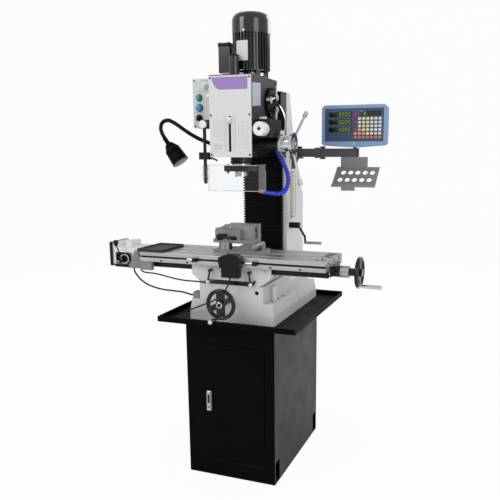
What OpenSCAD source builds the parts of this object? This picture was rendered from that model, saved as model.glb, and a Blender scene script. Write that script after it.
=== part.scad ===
// Vertical milling machine on a cabinet stand.
// Origin: centre of the cabinet's footprint on the floor. +X right, +Y back, +Z up.

/* [Stand] */
// Cabinet width
stand_w = 391; // [330:1:460]
// Cabinet depth
stand_d = 574; // [480:1:690]
// Cabinet height
stand_h = 670; // [560:1:805]
// Cabinet and tray sheet thickness
sheet = 2.5; // [2:0.5:4]
// Door width
door_w = 298; // [240:1:320]
// Door height
door_h = 510; // [420:1:560]
// Height of the door's lower edge
door_z = 70; // [50:1:100]
// Chip tray width
tray_w = 597; // [500:1:720]
// Chip tray depth
tray_d = 701; // [660:1:840]
// Chip tray rim height
tray_h = 22; // [15:1:40]

/* [Base and saddle] */
// Base casting foot width
base_w = 372; // [320:1:440]
// Base casting length, front to back
base_l = 562; // [540:1:590]
// Front face of the base casting
base_front = -262; // [-280:1:-240]
// Height of the base casting up to its ways
base_h = 157; // [140:1:190]
// Foot height
foot_h = 41; // [30:1:50]
// Half width of the cross-slide dovetail at its root
cross_way_w = 95; // [80:1:110]
// Start of the cross-slide dovetail behind the front face
cross_way_start = 96; // [92:1:110]
// Dovetail height of the cross slide
cross_way_h = 18; // [14:1:20]
// Saddle half width at the top
saddle_w = 172; // [150:1:190]
// Saddle height above the ways
saddle_h = 49.4; // [46:0.1:56]
// Height of the saddle's front apron
apron_h = 74; // [72:1:76]

/* [Table] */
// Table length
table_l = 800; // [670:1:960]
// Table width
table_w = 240; // [230:1:260]
// Table slab thickness
table_t = 40; // [36:1:48]
// Table rail depth under the slab
rail_h = 28; // [26:1:32]
// T-slot width
slot_w = 14; // [10:1:16]
// T-slot depth
slot_d = 22; // [18:1:24]
// Spacing of the T-slots
slot_pitch = 70; // [60:1:76]
// Lead screw radius of the table and cross slide
screw_r = 9; // [7.5:0.5:10]
// Handwheel radius
wheel_r = 62.5; // [55:0.5:68]

/* [Column] */
// Column half width
column_w = 100; // [96:1:110]
// Top of the column
column_top = 1602; // [1590:1:1700]
// Radius of the vertical lead screw
z_screw_r = 10; // [8:0.5:11]
// Half width of the bellows
bellows_w = 94; // [80:1:96]

/* [Head] */
// Head half width
head_w = 88; // [84:1:96]
// Front face of the head casting
head_front = -235; // [-245:1:-230]
// Bottom of the gearbox
head_z = 1400; // [1390:1:1405]
// Top of the gearbox
head_top = 1640; // [1630:1:1660]
// Height of the tilting centre
tilt_z = 1468; // [1460:1:1475]
// Radius of the tilting flange
flange_r = 120; // [100:1:125]
// Motor frame radius
motor_r = 76; // [64:1:80]
// Motor height above the gearbox
motor_h = 256; // [230:1:300]

/* [Spindle] */
// Quill radius
quill_r = 37.5; // [32:0.5:40]
// Spindle radius inside the quill
spindle_r = 20; // [17:0.5:22]
// Radius of the tool bore
tool_r = 12.07; // [10:0.01:13]
// Depth of the tool bore
tool_d = 90; // [60:1:120]
// Lower end of the spindle
nose_z = 1255; // [1250:1:1265]
// Feed pinion pitch radius
pinion_r = 13.5; // [12:0.5:15]

/* [Readout] */
// Readout case width
dro_w = 288; // [250:1:340]
// Readout case height
dro_h = 172; // [150:1:200]
// Readout case depth
dro_t = 40; // [34:1:50]

/* [Fits] */
// Running clearance on a radius
fit = 0.05; // [0.02:0.01:0.1]
// Gap between sliding faces
gap = 0.3; // [0.3:0.05:0.5]

/* [Hidden] */
$fn = 48;

// Gear module, and the teeth of the spindle gear and of the motor pinion
gear_m = 3;
gear_n = 50;
pinion_n = 30;

base_z = stand_h + sheet;
way_z = base_z + base_h;
// The column and the head are drawn for ways at this height, and rise with the base by lift
drawn_way_z = 829.5;
lift = way_z - drawn_way_z;
saddle_z = way_z + gap;
deck_z = saddle_z + saddle_h;
rail_z = deck_z + gap;
slab_z = rail_z + rail_h;
table_z = slab_z + table_t;
table_y = -166;
table_front = table_y - table_w / 2;
tray_y = 14.5;
x_screw_z = rail_z + 15;
x_screw_hole = screw_r + fit;
y_wheel_z = way_z - 59;
y_wheel_y = base_front - 95;
wheel_x = table_l / 2 + 102;
x_way_w = 55;
x_way_h = 18;
z_screw_y = 158;
crank_z = 1028;
bevel_r = 11;
slide_z = 1328;
spindle_y = -140;
motor_y = spindle_y + gear_m * (gear_n + pinion_n) / 2;
gear_z = 1540;
gear_t = 24;
feed_y = spindle_y + quill_r + pinion_r;
feed_z = 1383;
fine_x = 115.5;
plate_t = 4;
guard_x = -115;
guard_y = -230;
arm_z = 1347;
arm_y = 250;
shoulder_x = 118;
elbow_x = 227;
post_x = 374;
vise_x = -40;
vise_y = -165;
vise_screw_z = table_z + 74;

// Free cables, chosen by hand
FEED_CABLE = [[-490, -200, 868], [-490, -200, 858], [-482, -206, 842], [-465, -212, 826],
  [-444, -220, 812], [-407, -228, 796], [-370, -230, 786], [-333, -230, 780], [-298, -230, 778],
  [-265, -230, 777], [-240, -230, 776], [-222, -230, 773], [-204, -230, 769], [-188, -230, 767],
  [-176, -230, 767]];
TABLE_CABLE = [[-414, -262, 870], [-414, -262, 864], [-404, -260, 857], [-388, -258, 854],
  [-366, -257, 853], [-340, -256, 851], [-310, -256, 846], [-275, -257, 840], [-244, -259, 836],
  [-214, -262, 834], [-184, -265, 834], [-158, -266, 834], [-130, -266, 834], [-100, -266, 834],
  [-60, -266, 834], [-20, -266, 834], [20, -266, 834], [60, -266, 834], [86, -266, 835],
  [100, -267, 840], [106, -269, 847], [106, -268, 852], [106, -262, 852]];
SWITCH_CABLE = [[14, -300, 869], [14, -300, 858], [9, -300, 842], [1, -301, 827],
  [-8, -302, 812], [-19, -303, 798], [-34, -304, 784], [-54, -304, 772], [-77, -303, 760],
  [-100, -299, 750], [-122, -294, 740], [-145, -289, 730], [-166, -286, 721], [-186, -282, 713],
  [-201, -272, 706], [-208, -258, 701], [-207, -243, 698], [-202, -233, 697], [-194, -228, 697],
  [-186, -228, 697]];
LAMP_NECK = [[-60, -170, 1400], [-60, -170, 1391], [-68, -172, 1383], [-84, -174, 1378], [-106, -177, 1380],
  [-130, -180, 1390], [-163, -180, 1402], [-196, -180, 1418], [-230, -180, 1438],
  [-256, -180, 1455], [-280, -180, 1469], [-302, -180, 1478], [-322, -180, 1476],
  [-337, -180, 1464], [-341, -180, 1446], [-335, -180, 1426], [-322, -180, 1404]];
HOSE = [[80, 0, 1400], [80, 0, 1392], [88, 0, 1380], [102, 0, 1362], [114, 0, 1336], [128, 0, 1310],
  [141, 0, 1284], [150, -2, 1258], [154, -5, 1230], [151, -14, 1206], [143, -28, 1188],
  [126, -46, 1181], [104, -62, 1183], [84, -76, 1187], [68, -88, 1191]];

// Cylinder of radius r from point a to point b
module bar(a, b, r, r2 = undef) {
  v = b - a;
  l = norm(v);
  translate(a) rotate([0, acos(v[2] / l), atan2(v[1], v[0])])
    cylinder(h = l, r1 = r, r2 = is_undef(r2) ? r : r2);
}
module bar_x(x1, x2, y, z, r) { translate([x1, y, z]) rotate([0, 90, 0]) cylinder(h = x2 - x1, r = r); }
module bar_y(y1, y2, x, z, r) { translate([x, y2, z]) rotate([90, 0, 0]) cylinder(h = y2 - y1, r = r); }
module bar_z(z1, z2, x, y, r) { translate([x, y, z1]) cylinder(h = z2 - z1, r = r); }
module box(a, b) { translate(a) cube(b - a); }
module raised() { translate([0, 0, lift]) children(); }
// Outline in X and Z, drawn out from y1 to y2
module slab_y(y1, y2, pts) { translate([0, y2, 0]) rotate([90, 0, 0]) linear_extrude(y2 - y1) polygon(pts); }
// Outline in Y and Z, drawn out from x1 to x2
module slab_x(x1, x2, pts) {
  translate([x1, 0, 0]) rotate([90, 0, 90]) linear_extrude(x2 - x1) polygon(pts);
}
module plate_z(z1, z2, pts) { translate([0, 0, z1]) linear_extrude(z2 - z1) polygon(pts); }

// Tube swept along a list of points, with rings square to the path
function unit(v) = v / norm(v);
function heading(p, i) = unit(p[min(i + 1, len(p) - 1)] - p[max(i - 1, 0)]);
function side_of(t) = abs(t[1]) < 0.9 ? unit(cross(t, [0, 1, 0])) : unit(cross(t, [1, 0, 0]));
function ring(p, i, r, n) = let (t = heading(p, i), s = side_of(t), u = cross(s, t))
  [for (k = [0 : n - 1]) p[i] + r * (cos(360 * k / n) * s + sin(360 * k / n) * u)];
module tube(p, r, n = 8) {
  m = len(p);
  polyhedron(
    points = [for (i = [0 : m - 1]) each ring(p, i, r, n)],
    faces = concat(
      [[for (k = [0 : n - 1]) n - 1 - k]],
      [for (i = [0 : m - 2]) for (k = [0 : n - 1])
        [i * n + k, i * n + (k + 1) % n, (i + 1) * n + (k + 1) % n, (i + 1) * n + k]],
      [[for (k = [0 : n - 1]) (m - 1) * n + k]]));
}

// Trapezoid for a dovetail: half width w at the root, flaring over height h
function dovetail(w, h, z, c = 0) = [[-w - c, z], [w + c, z], [w + h * 0.577 + c, z + h + c],
  [-w - h * 0.577 - c, z + h + c]];
// Spur gear outline with n teeth
function gear_outline(m, n, start) = [for (i = [0 : n - 1]) let (a = start + 360 * i / n, rp = m * n / 2,
  root = rp - 1.1 * m, tip = rp + 0.8 * m, wr = 57.3 * 2.9 / root, wt = 57.3 * 1.15 / tip)
  each [root * [cos(a - wr), sin(a - wr)], tip * [cos(a - wt), sin(a - wt)],
    tip * [cos(a + wt), sin(a + wt)], root * [cos(a + wr), sin(a + wr)]]];
// Handwheel in the XY plane, face up, with a wide spoke band and a third spoke
module handwheel(r, band, hub_r, hub_t, bore) {
  rim = 8;
  difference() {
    union() {
      rotate_extrude() translate([r - rim, 0]) circle(r = rim, $fn = 24);
      intersection() {
        cylinder(h = 9, r = r - rim, center = true);
        union() {
          cube([band, 2 * r, 9], center = true);
          rotate([0, 0, 205]) translate([0, -band / 3, -4.5]) cube([r, band / 1.5, 9]);
        }
      }
      translate([0, 0, -hub_t / 2]) cylinder(h = hub_t, r = hub_r);
    }
    translate([0, 0, -hub_t]) cylinder(h = 2 * hub_t, r = bore);
  }
}

// ---- Stand ----
door_pin_x = 1 + door_w / 2 - 5;
door_pin_y = -stand_d / 2 + 5;
door_left = 1 - door_w / 2;
latch_x = door_left + 52;
latch_z = door_z + 263;

module cabinet() {
  color("dimgray") difference() {
    union() {
      difference() {
        box([-stand_w / 2, -stand_d / 2, 0], [stand_w / 2, stand_d / 2, stand_h]);
        box([-stand_w / 2 + sheet, -stand_d / 2 + sheet, 4], [stand_w / 2 - sheet, stand_d / 2 - sheet, stand_h - sheet]);
      }
      for (z = [door_z - 14, door_z + door_h + 2])
        box([door_pin_x - 7, -stand_d / 2 + 1, z], [door_pin_x + 12, -stand_d / 2 + 16, z + 12]);
    }
    box([door_left - 1, -stand_d / 2 - 1, door_z - 2], [1 + door_w / 2 + 3, -stand_d / 2 + sheet + 0.5, door_z + door_h + 2]);
    for (z = [door_z - 10, door_z + door_h]) bar_z(z, z + 10, door_pin_x, door_pin_y, 3 + fit);
    for (x = [-1, 1], y = [-1, 1]) {
      translate([x * stand_w / 2, y * (stand_d / 2 - 32), 50]) cube([20, 45, 90], center = true);
      bar_z(-1, 5, x * (stand_w / 2 - 30), y * (stand_d / 2 - 32), 7);
    }
    bar_y(stand_d / 2 - 5, stand_d / 2 + 1, 120, 600, 12);
  }
}
module cabinet_door() {
  color("black") {
    difference() {
      union() {
        box([door_left, -stand_d / 2, door_z], [1 + door_w / 2, -stand_d / 2 + sheet, door_z + door_h]);
        difference() {
          box([door_left + 8, -stand_d / 2 + 1, door_z], [1 + door_w / 2, -stand_d / 2 + 12, door_z + door_h]);
          box([door_left + 8 + sheet, -stand_d / 2, door_z + sheet], [door_w / 2 - 10, -stand_d / 2 + 20, door_z + door_h - sheet]);
        }
      }
      bar_y(-stand_d / 2 - 2, -stand_d / 2 + 20, latch_x, latch_z, 6 + fit);
      bar_z(door_z - 1, door_z + door_h + 1, door_pin_x, door_pin_y, 3);
    }
    bar_z(door_z - 9, door_z + door_h + 9, door_pin_x, door_pin_y, 3);
  }
}
module door_latch() {
  color("silver") {
    bar_y(-stand_d / 2 - 3, -stand_d / 2 + 20, latch_x, latch_z, 6);
    box([latch_x - 8.5, -stand_d / 2 - 8, latch_z - 41], [latch_x + 8.5, -stand_d / 2 - gap, latch_z + 41]);
    box([latch_x - 7, -stand_d / 2 + 16, latch_z - 58], [latch_x + 7, -stand_d / 2 + 20, latch_z + 7]);
  }
}
module chip_tray() {
  color("black") difference() {
    box([-tray_w / 2, tray_y - tray_d / 2, stand_h], [tray_w / 2, tray_y + tray_d / 2, stand_h + tray_h]);
    box([-tray_w / 2 + sheet, tray_y - tray_d / 2 + sheet, base_z], [tray_w / 2 - sheet, tray_y + tray_d / 2 - sheet, stand_h + tray_h + 1]);
  }
}

// ---- Base and saddle ----
base_back = base_front + base_l;
foot_block_w = 122;
column_back = 356;
shoulder_z = base_z + 87;
foot_top = base_z + 103;
module base_casting() {
  half = base_w / 2;
  color("gainsboro") difference() {
    union() {
      box([-half, base_front, base_z], [half, base_back, base_z + foot_h]);
      hull() {
        box([-half + 1, base_front + 1, base_z + foot_h], [half - 1, base_back - 1, base_z + foot_h + 1]);
        box([-half + 9, base_front + 3, shoulder_z], [half - 9, base_back - 9, shoulder_z + 1]);
      }
      box([-139, base_front, base_z + 20], [139, 70, way_z]);
      slab_y(base_front + cross_way_start, 70, dovetail(cross_way_w, cross_way_h, way_z - 1));
      box([-foot_block_w, 104, base_z], [foot_block_w, column_back + 4, foot_top]);
      bar_y(base_front - 8, base_front + 2, 0, y_wheel_z, 24);
      bar_z(shoulder_z - 4, way_z - 6, 158, -190, 11);
    }
    box([-98, base_front + 22, base_z - 1], [98, 60, way_z - 18]);
    box([-30, base_front + 26, way_z - 30], [30, 20, way_z + cross_way_h + 1]);
    box([-90, 128, base_z - 1], [90, column_back - 20, foot_top - 20]);
    bar_y(base_front - 20, base_front + 30, 0, y_wheel_z, screw_r + fit);
    bar_y(base_front - 1, base_front + 12, 112, way_z - 26, 8);
    for (y = [-210, -150, -90]) bar_z(shoulder_z - 12, shoulder_z + 2, 160, y, 6);
  }
  color("gray") box([-176, -252, shoulder_z + 1], [-146, -214, shoulder_z + 26]);
}
module saddle() {
  s = saddle_z;
  w = saddle_w;
  color("whitesmoke") difference() {
    union() {
      slab_y(base_front, -70, [[-120, s], [120, s], [137, s + 6], [w, s + 35], [w, deck_z],
        [-w, deck_z], [-w, s + 35], [-137, s + 6]]);
      box([-w, base_front, deck_z - 1], [w, base_front + 11, s + apron_h]);
      box([-w, -82, deck_z - 1], [w, -70, s + apron_h]);
      slab_x(-w, w, [for (p = dovetail(x_way_w, x_way_h - gap, deck_z - 0.5)) [p[0] + table_y, p[1]]]);
      box([-20, table_y - 13.5, deck_z], [20, table_y + 13.5, x_screw_z + screw_r + 3]);
      box([-24, -150, y_wheel_z - 22], [24, -110, s + 4]);
    }
    slab_y(base_front - 1, -69, dovetail(cross_way_w, cross_way_h, way_z - 1, gap + 0.1));
    for (x = [-1, 1]) translate([x * (20 + w / 2), table_y, deck_z + 20]) cube([w, 28, 40], center = true);
    bar_x(-w - 1, w + 1, table_y, x_screw_z, x_screw_hole);
    bar_y(-160, -100, 0, y_wheel_z, screw_r + fit);
    for (x = [-84, 86]) bar_y(base_front - 1, base_front + 12, x, s + 56, 6 + fit);
  }
  color("whitesmoke") difference() {
    box([-24, -150, y_wheel_z - 22], [24, -110, s + cross_way_h + 4]);
    bar_y(-160, -100, 0, y_wheel_z, screw_r + fit);
  }
}
module limit_switch() {
  front = table_front;
  up = table_z - 947.5;
  color("black") translate([0, 0, up]) difference() {
    union() {
      slab_y(front - 38, front - 1.5, [[-20, 908], [62, 908], [68, 930], [68, 949], [54, 961], [4, 961], [-24, 949], [-24, 930]]);
      box([-16, front - 30, 869], [58, front - 1.5, 909]);
      box([-14, front - 4, 872], [44, base_front, 904]);
    }
    box([-60, front - 20, 915], [80, front, 944]);
    box([-60, front - 2, 906], [80, front + 2, 990]);
  }
}
module saddle_lock(x, lean) {
  z = saddle_z + 56;
  tip = [x + lean, base_front - 15, z - 47];
  color("black") {
    bar_y(base_front - 20, base_front + 10, x, z, 6);
    bar([x, base_front - 15, z], tip, 3.5);
  }
  color("white") translate(tip) sphere(r = 7.5, $fn = 24);
}
module saddle_lock_left() { saddle_lock(-84, -10); }
module saddle_lock_right() { saddle_lock(86, 6); }
module way_cover() {
  color("black") difference() {
    slab_x(-118, 118, [[-69.5, way_z + 22], [-69.5, saddle_z + 50], [-60, saddle_z + 50], [103.5, way_z + 30], [103.5, way_z + 22]]);
  }
}
module y_handwheel() {
  color("black") {
    translate([0, y_wheel_y, y_wheel_z]) rotate([90, 0, 0]) handwheel(wheel_r, 34, 17, 26, screw_r - 1);
    difference() {
      bar_y(y_wheel_y - 13, base_front - 8.5, 0, y_wheel_z, 13);
      bar_y(y_wheel_y - 20, base_front, 0, y_wheel_z, screw_r - 1);
    }
  }
  color("silver") {
    bar_y(y_wheel_y - 14, base_front - 8.4, 0, y_wheel_z, screw_r - 1);
    bar_y(base_front - 8.5, 40, 0, y_wheel_z, screw_r);
  }
  color("silver") translate([-12, y_wheel_y, y_wheel_z - wheel_r + 9]) rotate([90, 0, 0]) cylinder(h = 70, r = 4);
}
module y_grip() {
  color("silver") translate([-12, y_wheel_y - 12, y_wheel_z - wheel_r + 9]) rotate([90, 0, 0]) difference() {
    cylinder(h = 60, r1 = 6.5, r2 = 8.5);
    translate([0, 0, -1]) cylinder(h = 59.3, r = 4 + fit);
  }
}

// ---- Table ----
end_x = table_l / 2;
module t_slot(y) {
  box([-end_x - 1, y - slot_w / 2, table_z - slot_d], [end_x + 1, y + slot_w / 2, table_z + 1]);
  box([-end_x - 1, y - slot_w / 2 - 5, table_z - slot_d], [end_x + 1, y + slot_w / 2 + 5, table_z - slot_d + 9]);
}
module table() {
  color("silver") difference() {
    union() {
      box([-end_x, table_front, slab_z], [end_x, table_front + table_w, table_z]);
      box([-end_x, table_y - 80, rail_z], [end_x, table_y + 80, slab_z + 1]);
    }
    for (k = [-1 : 1]) t_slot(table_y + k * slot_pitch);
    slab_x(-end_x - 1, end_x + 1, [for (p = dovetail(x_way_w, x_way_h, rail_z - 0.8, gap + 0.1)) [p[0] + table_y, p[1]]]);
    box([-end_x - 1, table_y - 15, rail_z - 1], [end_x + 1, table_y + 15, slab_z + 5]);
    box([-end_x - 1, table_front - 1, slab_z + 16], [end_x + 1, table_front + 8, slab_z + 24]);
    box([end_x - 48, table_front + 18, table_z - 12], [end_x - 12, table_front + table_w - 18, table_z + 1]);
  }
}
module end_tray() {
  color("dimgray") difference() {
    box([-end_x - 10, table_front - 6, table_z + 0.1], [-end_x + 108, table_front + 178, table_z + 12]);
    box([-end_x - 6, table_front - 2, table_z + 7], [-end_x + 104, table_front + 174, table_z + 13]);
  }
}
module x_bearing() {
  color("black") difference() {
    union() {
      bar_x(end_x, end_x + 29, table_y, x_screw_z, 22);
      box([end_x, table_y - 60, slab_z - 26], [end_x + 9, table_y + 60, slab_z + 16]);
    }
    bar_x(end_x - 1, end_x + 30, table_y, x_screw_z, x_screw_hole);
  }
}
module table_stops() {
  z = slab_z + 20;
  for (side = [-1, 1]) {
    x = side < 0 ? -142 : 118;
    color("black") box([x - 9, table_front - 15, z - 8], [x + 9, table_front, z + 8]);
    color("black") box([x - 8, table_front - 1, z - 3.5], [x + 8, table_front + 7.5, z + 3.5]);
    color("silver") bar_x(side < 0 ? x - 32 : x - 40, x, table_front - 8, z, 5);
  }
}
module feed_bracket() {
  color("gray") difference() {
    union() {
      box([-end_x - 12, table_y - 62, rail_z], [-end_x, table_y + 60, table_z - 6]);
      box([-end_x - 40, table_y - 30, x_screw_z - 26], [-end_x - 11, table_y + 30, x_screw_z + 30]);
      slab_y(table_front + 20, table_front + 28, [[-end_x - 74, 870], [-end_x - 38, 946], [-end_x - 8, 914], [-end_x + 2, 871]]);
      box([-end_x - 4, table_front + 4, 870], [-end_x + 50, table_front + 22, slab_z - 0.1]);
      box([-end_x - 12, table_front + 22, 871], [-end_x, table_y, 900]);
    }
    bar_x(-end_x - 60, -end_x + 1, table_y, x_screw_z, x_screw_hole);
  }
}
feed_x = -end_x - 40;
feed_front = table_front + 36;
module power_feed() {
  color("whitesmoke") difference() {
    union() {
      box([feed_x - 118, feed_front + 6, 880], [feed_x, table_y + 46, 952]);
      box([feed_x - 78, feed_front + 40, 951], [feed_x - 50, table_y + 30, 976]);
      box([feed_x - 134, feed_front, 872], [feed_x - 117, table_y + 40, 974]);
      box([feed_x - 104, feed_front, 883], [feed_x - 28, feed_front + 8, 933]);
      box([feed_x - 112, feed_front + 4, 868], [feed_x - 30, table_y + 30, 881]);
    }
    bar_x(feed_x - 40, feed_x + 1, table_y, x_screw_z, x_screw_hole);
    bar_y(feed_front - 1, feed_front + 30, feed_x - 61, 905, 5 + fit);
    bar_y(feed_front - 1, feed_front + 20, feed_x - 64, 927, 2.6);
  }
}
module feed_dial() {
  color("black") {
    bar_y(feed_front - 8, feed_front - 0.4, feed_x - 61, 905, 16);
    bar_y(feed_front - 24, feed_front - 7, feed_x - 61, 905, 9);
    bar_y(feed_front - 8, feed_front + 28, feed_x - 61, 905, 5);
  }
}
module feed_lever() {
  tip = [feed_x - 81, feed_front - 28, 966];
  root = [feed_x - 64, feed_front - 24.5, 927];
  color("black") {
    bar(root, tip, 2.5);
    bar(tip - [0, 0, 4], tip + [0, 0, 10], 5, 9);
    translate(tip + [0, 0, 12]) sphere(r = 11);
    bar_y(feed_front - 28, feed_front + 18, root[0], root[2], 2.5);
  }
}
module x_handwheel() {
  color("silver") {
    bar_x(-end_x - 70, end_x + 29.5, table_y, x_screw_z, screw_r);
    bar_x(end_x + 29.4, wheel_x + 10, table_y, x_screw_z, screw_r - 1);
    difference() {
      bar_x(end_x + 29.5, end_x + 63, table_y, x_screw_z, 23);
      bar_x(end_x + 29, end_x + 64, table_y, x_screw_z, screw_r - 1);
    }
  }
  color("black") {
    difference() {
      bar_x(end_x + 63, wheel_x - 12, table_y, x_screw_z, 15);
      bar_x(end_x + 62, wheel_x, table_y, x_screw_z, screw_r - 1);
    }
    translate([wheel_x, table_y, x_screw_z]) rotate([90, 0, 90]) handwheel(wheel_r, 30, 16, 24, screw_r - 1);
  }
  color("silver") bar_x(wheel_x, wheel_x + 82, table_y, x_screw_z - wheel_r + 9, 4);
}
module x_grip() {
  color("silver") translate([wheel_x + 11, table_y, x_screw_z - wheel_r + 9]) rotate([0, 90, 0]) difference() {
    cylinder(h = 76, r1 = 7, r2 = 8.5);
    translate([0, 0, -1]) cylinder(h = 72.5, r = 4 + fit);
  }
}

// ---- Vise ----
module vise_base() {
  v = vise_x;
  color("darkgray") difference() {
    union() {
      box([v - 56, vise_y - 54, table_z + 0.1], [v + 152, vise_y + 54, table_z + 15]);
      slab_y(vise_y - 44, vise_y + 44, [[v + 16, table_z + 14], [v + 120, table_z + 14], [v + 126, table_z + 30],
        [v + 122, table_z + 43], [v + 84, table_z + 45]]);
      bar_y(vise_y - 49, vise_y + 49, v + 120, table_z + 30, 13);
      bar_z(table_z + 14, table_z + 45, v - 14, vise_y - 22, 27);
      box([v - 55, vise_y - 52, table_z + 43], [v + 112, vise_y + 52, table_z + 58]);
      box([v - 14, vise_y + 22, table_z + 56], [v + 112, vise_y + 52, table_z + 115]);
      box([v - 55, vise_y + 22, table_z + 56], [v - 12, vise_y + 52, table_z + 100]);
      box([v - 46, vise_y - 52, table_z + 56], [v + 64, vise_y - 36, table_z + 98]);
      bar_z(table_z + 10, table_z + 24, v + 142, vise_y, 9);
    }
    bar_y(vise_y - 60, vise_y + 10, v, vise_screw_z, 8 + fit);
    box([v - 22, vise_y - 36, table_z + 48], [v + 22, vise_y + 22, table_z + 59]);
  }
}
module vise_jaw() {
  v = vise_x;
  color("gray") difference() {
    union() {
      box([v - 52, vise_y - 34, table_z + 58.4], [v - 12, vise_y - 4, table_z + 100]);
      box([v - 14, vise_y - 34, table_z + 58.4], [v + 110, vise_y - 4, table_z + 115]);
      box([v - 21, vise_y - 33, table_z + 49], [v + 21, vise_y - 5, table_z + 59]);
    }
    bar_y(vise_y - 40, vise_y - 6, v, vise_screw_z, 8 + fit);
  }
}
module vise_handle() {
  v = vise_x;
  y = vise_y - 96;
  color("black") {
    bar_y(y - 8, vise_y - 8, v, vise_screw_z, 8);
    bar_y(y - 12, y + 8, v, vise_screw_z, 14);
    bar([v, y - 4, vise_screw_z], [v + 70, y - 4, vise_screw_z - 3], 6);
  }
}

// ---- Column ----
module column() {
  w = column_w;
  foot = foot_top - lift;
  color("whitesmoke") difference() {
    union() {
      slab_x(-w, w, [[127, foot], [column_back, foot], [column_back, 1150], [256, 1292], [166, column_top], [127, column_top]]);
      plate_z(foot, column_top, [[-80, 105], [80, 105], [70, 127], [70, 128], [-70, 128], [-70, 127]]);
      box([-foot_block_w + 4, 127, foot], [foot_block_w - 4, column_back, foot + 26]);
      bar_x(w - 1, w + 3, z_screw_y, crank_z, 18);
      box([-10, 128, column_top - 1], [10, 160, column_top]);
    }
    difference() {
      slab_x(-w + 14, w - 14, [[141, foot + 30], [column_back - 14, foot + 30], [column_back - 14, 1144], [244, 1282], [156, 1588], [141, 1588]]);
      for (z = [1075, 1506]) box([-w, 100, z], [w, 400, z + 14]);
    }
    bar_z(1040, 1530, 0, z_screw_y, z_screw_r + fit);
    box([-24, 100, 1335], [24, 142, 1498]);
    bar_x(w - 20, w + 5, z_screw_y, crank_z, 8 + fit);
  }
}
module column_bolts() {
  color("black") {
    for (x = [-1, 1], y = [112, 116]) if (y == 112) bar_z(foot_top, foot_top + 10, x * 108, y, 8);
    for (x = [-1, 1], y = [190, 290]) bar_z(foot_top + 26, foot_top + 36, x * (foot_block_w - 12), y, 6.5);
  }
}
module z_scale() {
  w = column_w;
  color("silver") {
    box([w, 168, 1060], [w + 12, 192, 1268]);
    for (z = [1070, 1145, 1255]) bar_y(160, 214, w + 13, z, 2.5);
    bar_z(1064, 1261, w + 15, 206, 3);
  }
}
module z_screw() {
  color("silver") {
    bar_z(crank_z + bevel_r, 1525, 0, z_screw_y, z_screw_r);
    translate([0, z_screw_y, crank_z + bevel_r]) cylinder(h = 6, r1 = bevel_r - 0.4, r2 = bevel_r + 5.6);
  }
}
module z_crank() {
  hub = [column_w + 50, z_screw_y, crank_z];
  bend = [column_w + 60, z_screw_y + 45, crank_z - 56];
  foot = [column_w + 63, z_screw_y + 42, crank_z - 83];
  color("black") {
    bar_x(bevel_r, column_w + 5, z_screw_y, crank_z, 8);
    translate([bevel_r, z_screw_y, crank_z]) rotate([0, 90, 0])
      cylinder(h = 6, r1 = bevel_r - 0.4, r2 = bevel_r + 5.6);
    bar_x(column_w + 4, column_w + 50, z_screw_y, crank_z, 13.5);
    bar([hub[0] - 7, hub[1], hub[2]], bend, 5);
    bar(bend, foot, 5);
    translate(bend) sphere(r = 6);
  }
  color("silver") bar_x(foot[0] - 5, foot[0] + 76, foot[1], foot[2], 7);
}
module column_bellows() {
  bottom = drawn_way_z + 33;
  n = 40;
  pitch = (slide_z - gap - bottom) / n;
  color("black") slab_x(-bellows_w, bellows_w, concat(
    [[104.7, bottom], [104.7, slide_z - gap]],
    [for (i = [n : -1 : 1]) each [[92, bottom + i * pitch], [85, bottom + (i - 0.5) * pitch]]],
    [[92, bottom]]));
}

// ---- Z slide ----
module z_slide() {
  color([0.1, 0.1, 0.1]) difference() {
    union() {
      plate_z(slide_z, column_top - 2, [[-97, 62], [97, 62], [97, 126.7], [70.5, 126.7], [80.5, 104.7],
        [-80.5, 104.7], [-70.5, 126.7], [-97, 126.7]]);
      bar_y(46, 63, 0, tilt_z, flange_r);
      box([-20, 103, tilt_z - 14], [20, 176, tilt_z + 16]);
    }
    bar_y(40, 82, 0, tilt_z, 30 + fit);
    bar_z(1400, 1540, 0, z_screw_y, z_screw_r + fit);
  }
}

// ---- Head ----
module head_casting() {
  w = head_w;
  color([0.25, 0.25, 0.26]) difference() {
    union() {
      slab_x(-w, w, [[head_front, head_z], [24, head_z], [39, head_z + 20], [39, head_top], [head_front, head_top]]);
      bar_z(head_z - 95, head_z + 1, 0, spindle_y, quill_r + 4.5);
      bar_x(-44, 152, feed_y, feed_z, 25);
      bar_y(38, 45.7, 0, tilt_z, flange_r - 8);
      bar_y(44, 78, 0, tilt_z, 30);
      box([w - 1, -186, head_z + 5], [fine_x + 28, -60, head_z + 75]);
      bar_x(w - 1, w + 8, -35, 1546, 60);
      box([-w - 9, -100, head_z + 60], [-w + 1, -60, head_z + 100]);
      box([guard_x - 8, guard_y - 4.8, 1440], [-w + 1, guard_y + 16, 1474]);
    }
    box([-w + 8, head_front + 8, gear_z - 50], [w - 8, 31, head_top - 10]);
    bar_z(head_z - 100, gear_z - 49, 0, spindle_y, quill_r + fit);
    bar_z(head_top - 20, head_top + 1, 0, motor_y, 12 + fit);
    bar_x(-50, 160, feed_y, feed_z, 10 + fit);
    bar_x(-18, 18, feed_y, feed_z, pinion_r + 2);
    bar_y(-190, -100, fine_x, head_z + 38, 8 + fit);
    bar_x(w - 20, w + 20, -35, 1566, 7 + fit);
    bar_x(w - 20, w + 20, -35, 1518, 7 + fit);
    bar_z(1430, 1480, guard_x, guard_y, 6.5);
  }
}
module front_plate() {
  y = head_front - plate_t;
  color("whitesmoke") difference() {
    box([-head_w, y, 1331], [head_w, head_front - 0.01, 1636]);
    box([-7.5, y - 1, 1352], [3.5, head_front + 1, 1486]);
  }
  color("silver") for (x = [-1, 1], z = [1340, 1490, 1628])
    bar_y(y - 1.5, y + 1, x * (head_w - 7), z, 3);
}
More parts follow.
